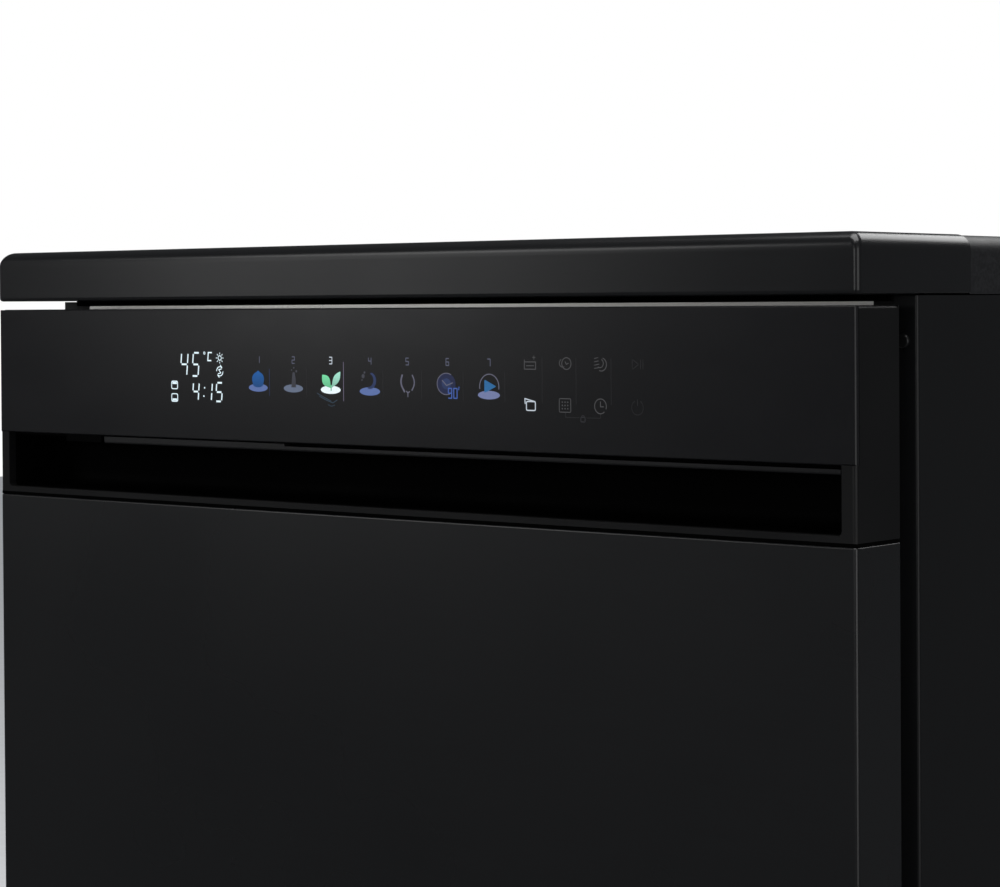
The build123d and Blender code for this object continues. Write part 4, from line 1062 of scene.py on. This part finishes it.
def key_rules():
    """Fine lines between the key columns, and a bracket that joins two keys under the lock."""
    lines = []
    for x in (116.4, 137.7, 159.2):
        lines += stroke([(x, 765.0), (x, 787.4)], 0.3)
    lines += stroke([(131.0, 760.4), (131.0, 758.4), (139.4, 758.4)], 0.3)
    return lines + stroke([(144.2, 758.4), (152.6, 758.4), (152.6, 760.4)], 0.3)


def keys():
    """Dim symbols of the touch keys, right of the programs."""
    x, top, low = KEY_X, KEY_TOP, KEY_LOW
    dim = rack_lines(x[0], top) + dial_lines(x[1], top) + dry_lines(x[2], top)
    ink("key_symbols", dim + tablet_lines(x[1], low) + clock_lines(x[2], low), KEY)
    ink("key_open_door", open_door_lines(x[0], low), BRIGHT)
    ink("key_dim_symbols", start_lines(x[3], top) + power_lines(x[3], low) + key_rules(), FAINT)
    shackle = stroke(arc(141.8, 758.6, 0.9, 0, 180, 8), 0.35)
    ink("key_lock", soft_frame(140.5, 143.1, 756.4, 758.6, 0.3, 0.4) + shackle, LOCK)


display()
program_marks()
for picture, centre in zip(PICTURES, PROGRAM_X):
    picture(centre, DISC_Z)
program_rules()
keys()


# ---- Floor, light and camera ----
def floor():
    """A wide pale floor, left out of the reflections so that the black surfaces stay dark."""
    bm = bmesh.new()
    bmesh.ops.create_grid(bm, x_segments=24, y_segments=24, size=9.0)
    mesh = bpy.data.meshes.new("studio_floor")
    bm.to_mesh(mesh)
    bm.free()
    made = add_object("studio_floor", mesh)
    paper = Shader("floor_paper")
    grain = paper.noise(size=40, detail=4)
    paper.tint(grain, (0.78, 0.78, 0.78), (0.82, 0.82, 0.82))
    paper.rough(grain, 0.75, 0.85)
    mesh.materials.append(paper.material)
    made.visible_glossy = False


def surround():
    """A white surround that lights softly and is nearly black in reflections."""
    world = bpy.data.worlds.new("studio_world")
    bpy.context.scene.world = world
    world.use_nodes = True
    tree = world.node_tree
    back = tree.nodes["Background"]
    back.inputs["Color"].default_value = (1, 1, 1, 1)
    back.inputs["Strength"].default_value = 1.0
    path = tree.nodes.new("ShaderNodeLightPath")
    shown = back.outputs[0]
    for ray, strength in (("Is Diffuse Ray", 0.45), ("Is Glossy Ray", 0.07)):
        other = tree.nodes.new("ShaderNodeBackground")
        other.inputs["Color"].default_value = (0.92, 0.95, 1.0, 1)
        other.inputs["Strength"].default_value = strength
        mix = tree.nodes.new("ShaderNodeMixShader")
        tree.links.new(path.outputs[ray], mix.inputs["Fac"])
        tree.links.new(shown, mix.inputs[1])
        tree.links.new(other.outputs[0], mix.inputs[2])
        shown = mix.outputs[0]
    tree.links.new(shown, tree.nodes["World Output"].inputs["Surface"])


def area(name, place, target, width, height, power):
    """A soft rectangular light that faces a point."""
    lamp = bpy.data.lights.new(name, "AREA")
    lamp.shape = "RECTANGLE"
    lamp.size = width
    lamp.size_y = height
    lamp.energy = power
    light = add_object(name, lamp)
    light.visible_camera = False
    light.location = place
    light.rotation_euler = (Vector(target) - Vector(place)).to_track_quat("-Z", "Y").to_euler()


def camera():
    """A long lens at worktop height, to the right of the machine, almost level and shifted down."""
    data = bpy.data.cameras.new("camera")
    data.sensor_width = 36.0
    data.lens = 94.6
    data.shift_y = -0.1069
    data.clip_start = 0.05
    eye = add_object("camera", data)
    eye.location = (0.9311, -1.3051, 0.8142)
    yaw, pitch, roll = (math.radians(angle) for angle in (39.935, 0.719, 0.368))
    look = Vector((-math.sin(yaw) * math.cos(pitch), math.cos(yaw) * math.cos(pitch), -math.sin(pitch)))
    level = Vector((math.cos(yaw), math.sin(yaw), 0))
    above = level.cross(look)
    right = level * math.cos(roll) - above * math.sin(roll)
    up = above * math.cos(roll) + level * math.sin(roll)
    eye.rotation_euler = Matrix((right, up, -look)).transposed().to_euler()
    bpy.context.scene.camera = eye


floor()
surround()
camera()
area("key_left", (-1.72, -2.12, 1.28), (-0.05, -0.3, 0.80), 0.6, 1.1, 2.7)
area("key_top", (-1.65, -2.0, 2.0), (-0.05, -0.3, 0.80), 0.8, 0.4, 3.0)
area("top_soft", (0.3, -0.2, 3.0), (0, 0, 0.8), 2.2, 2.2, 60)
area("right_soft", (2.5, -1.25, 0.95), (0.3, -0.2, 0.8), 1.5, 1.9, 10)
area("front_soft", (0.5, -4.2, 1.4), (0, -0.3, 0.6), 1.6, 1.2, 13)
area("back_soft", (0.2, 3.0, 2.5), (0, 0, 0.4), 1.8, 1.4, 26)
bpy.context.scene.view_settings.view_transform = "Standard"
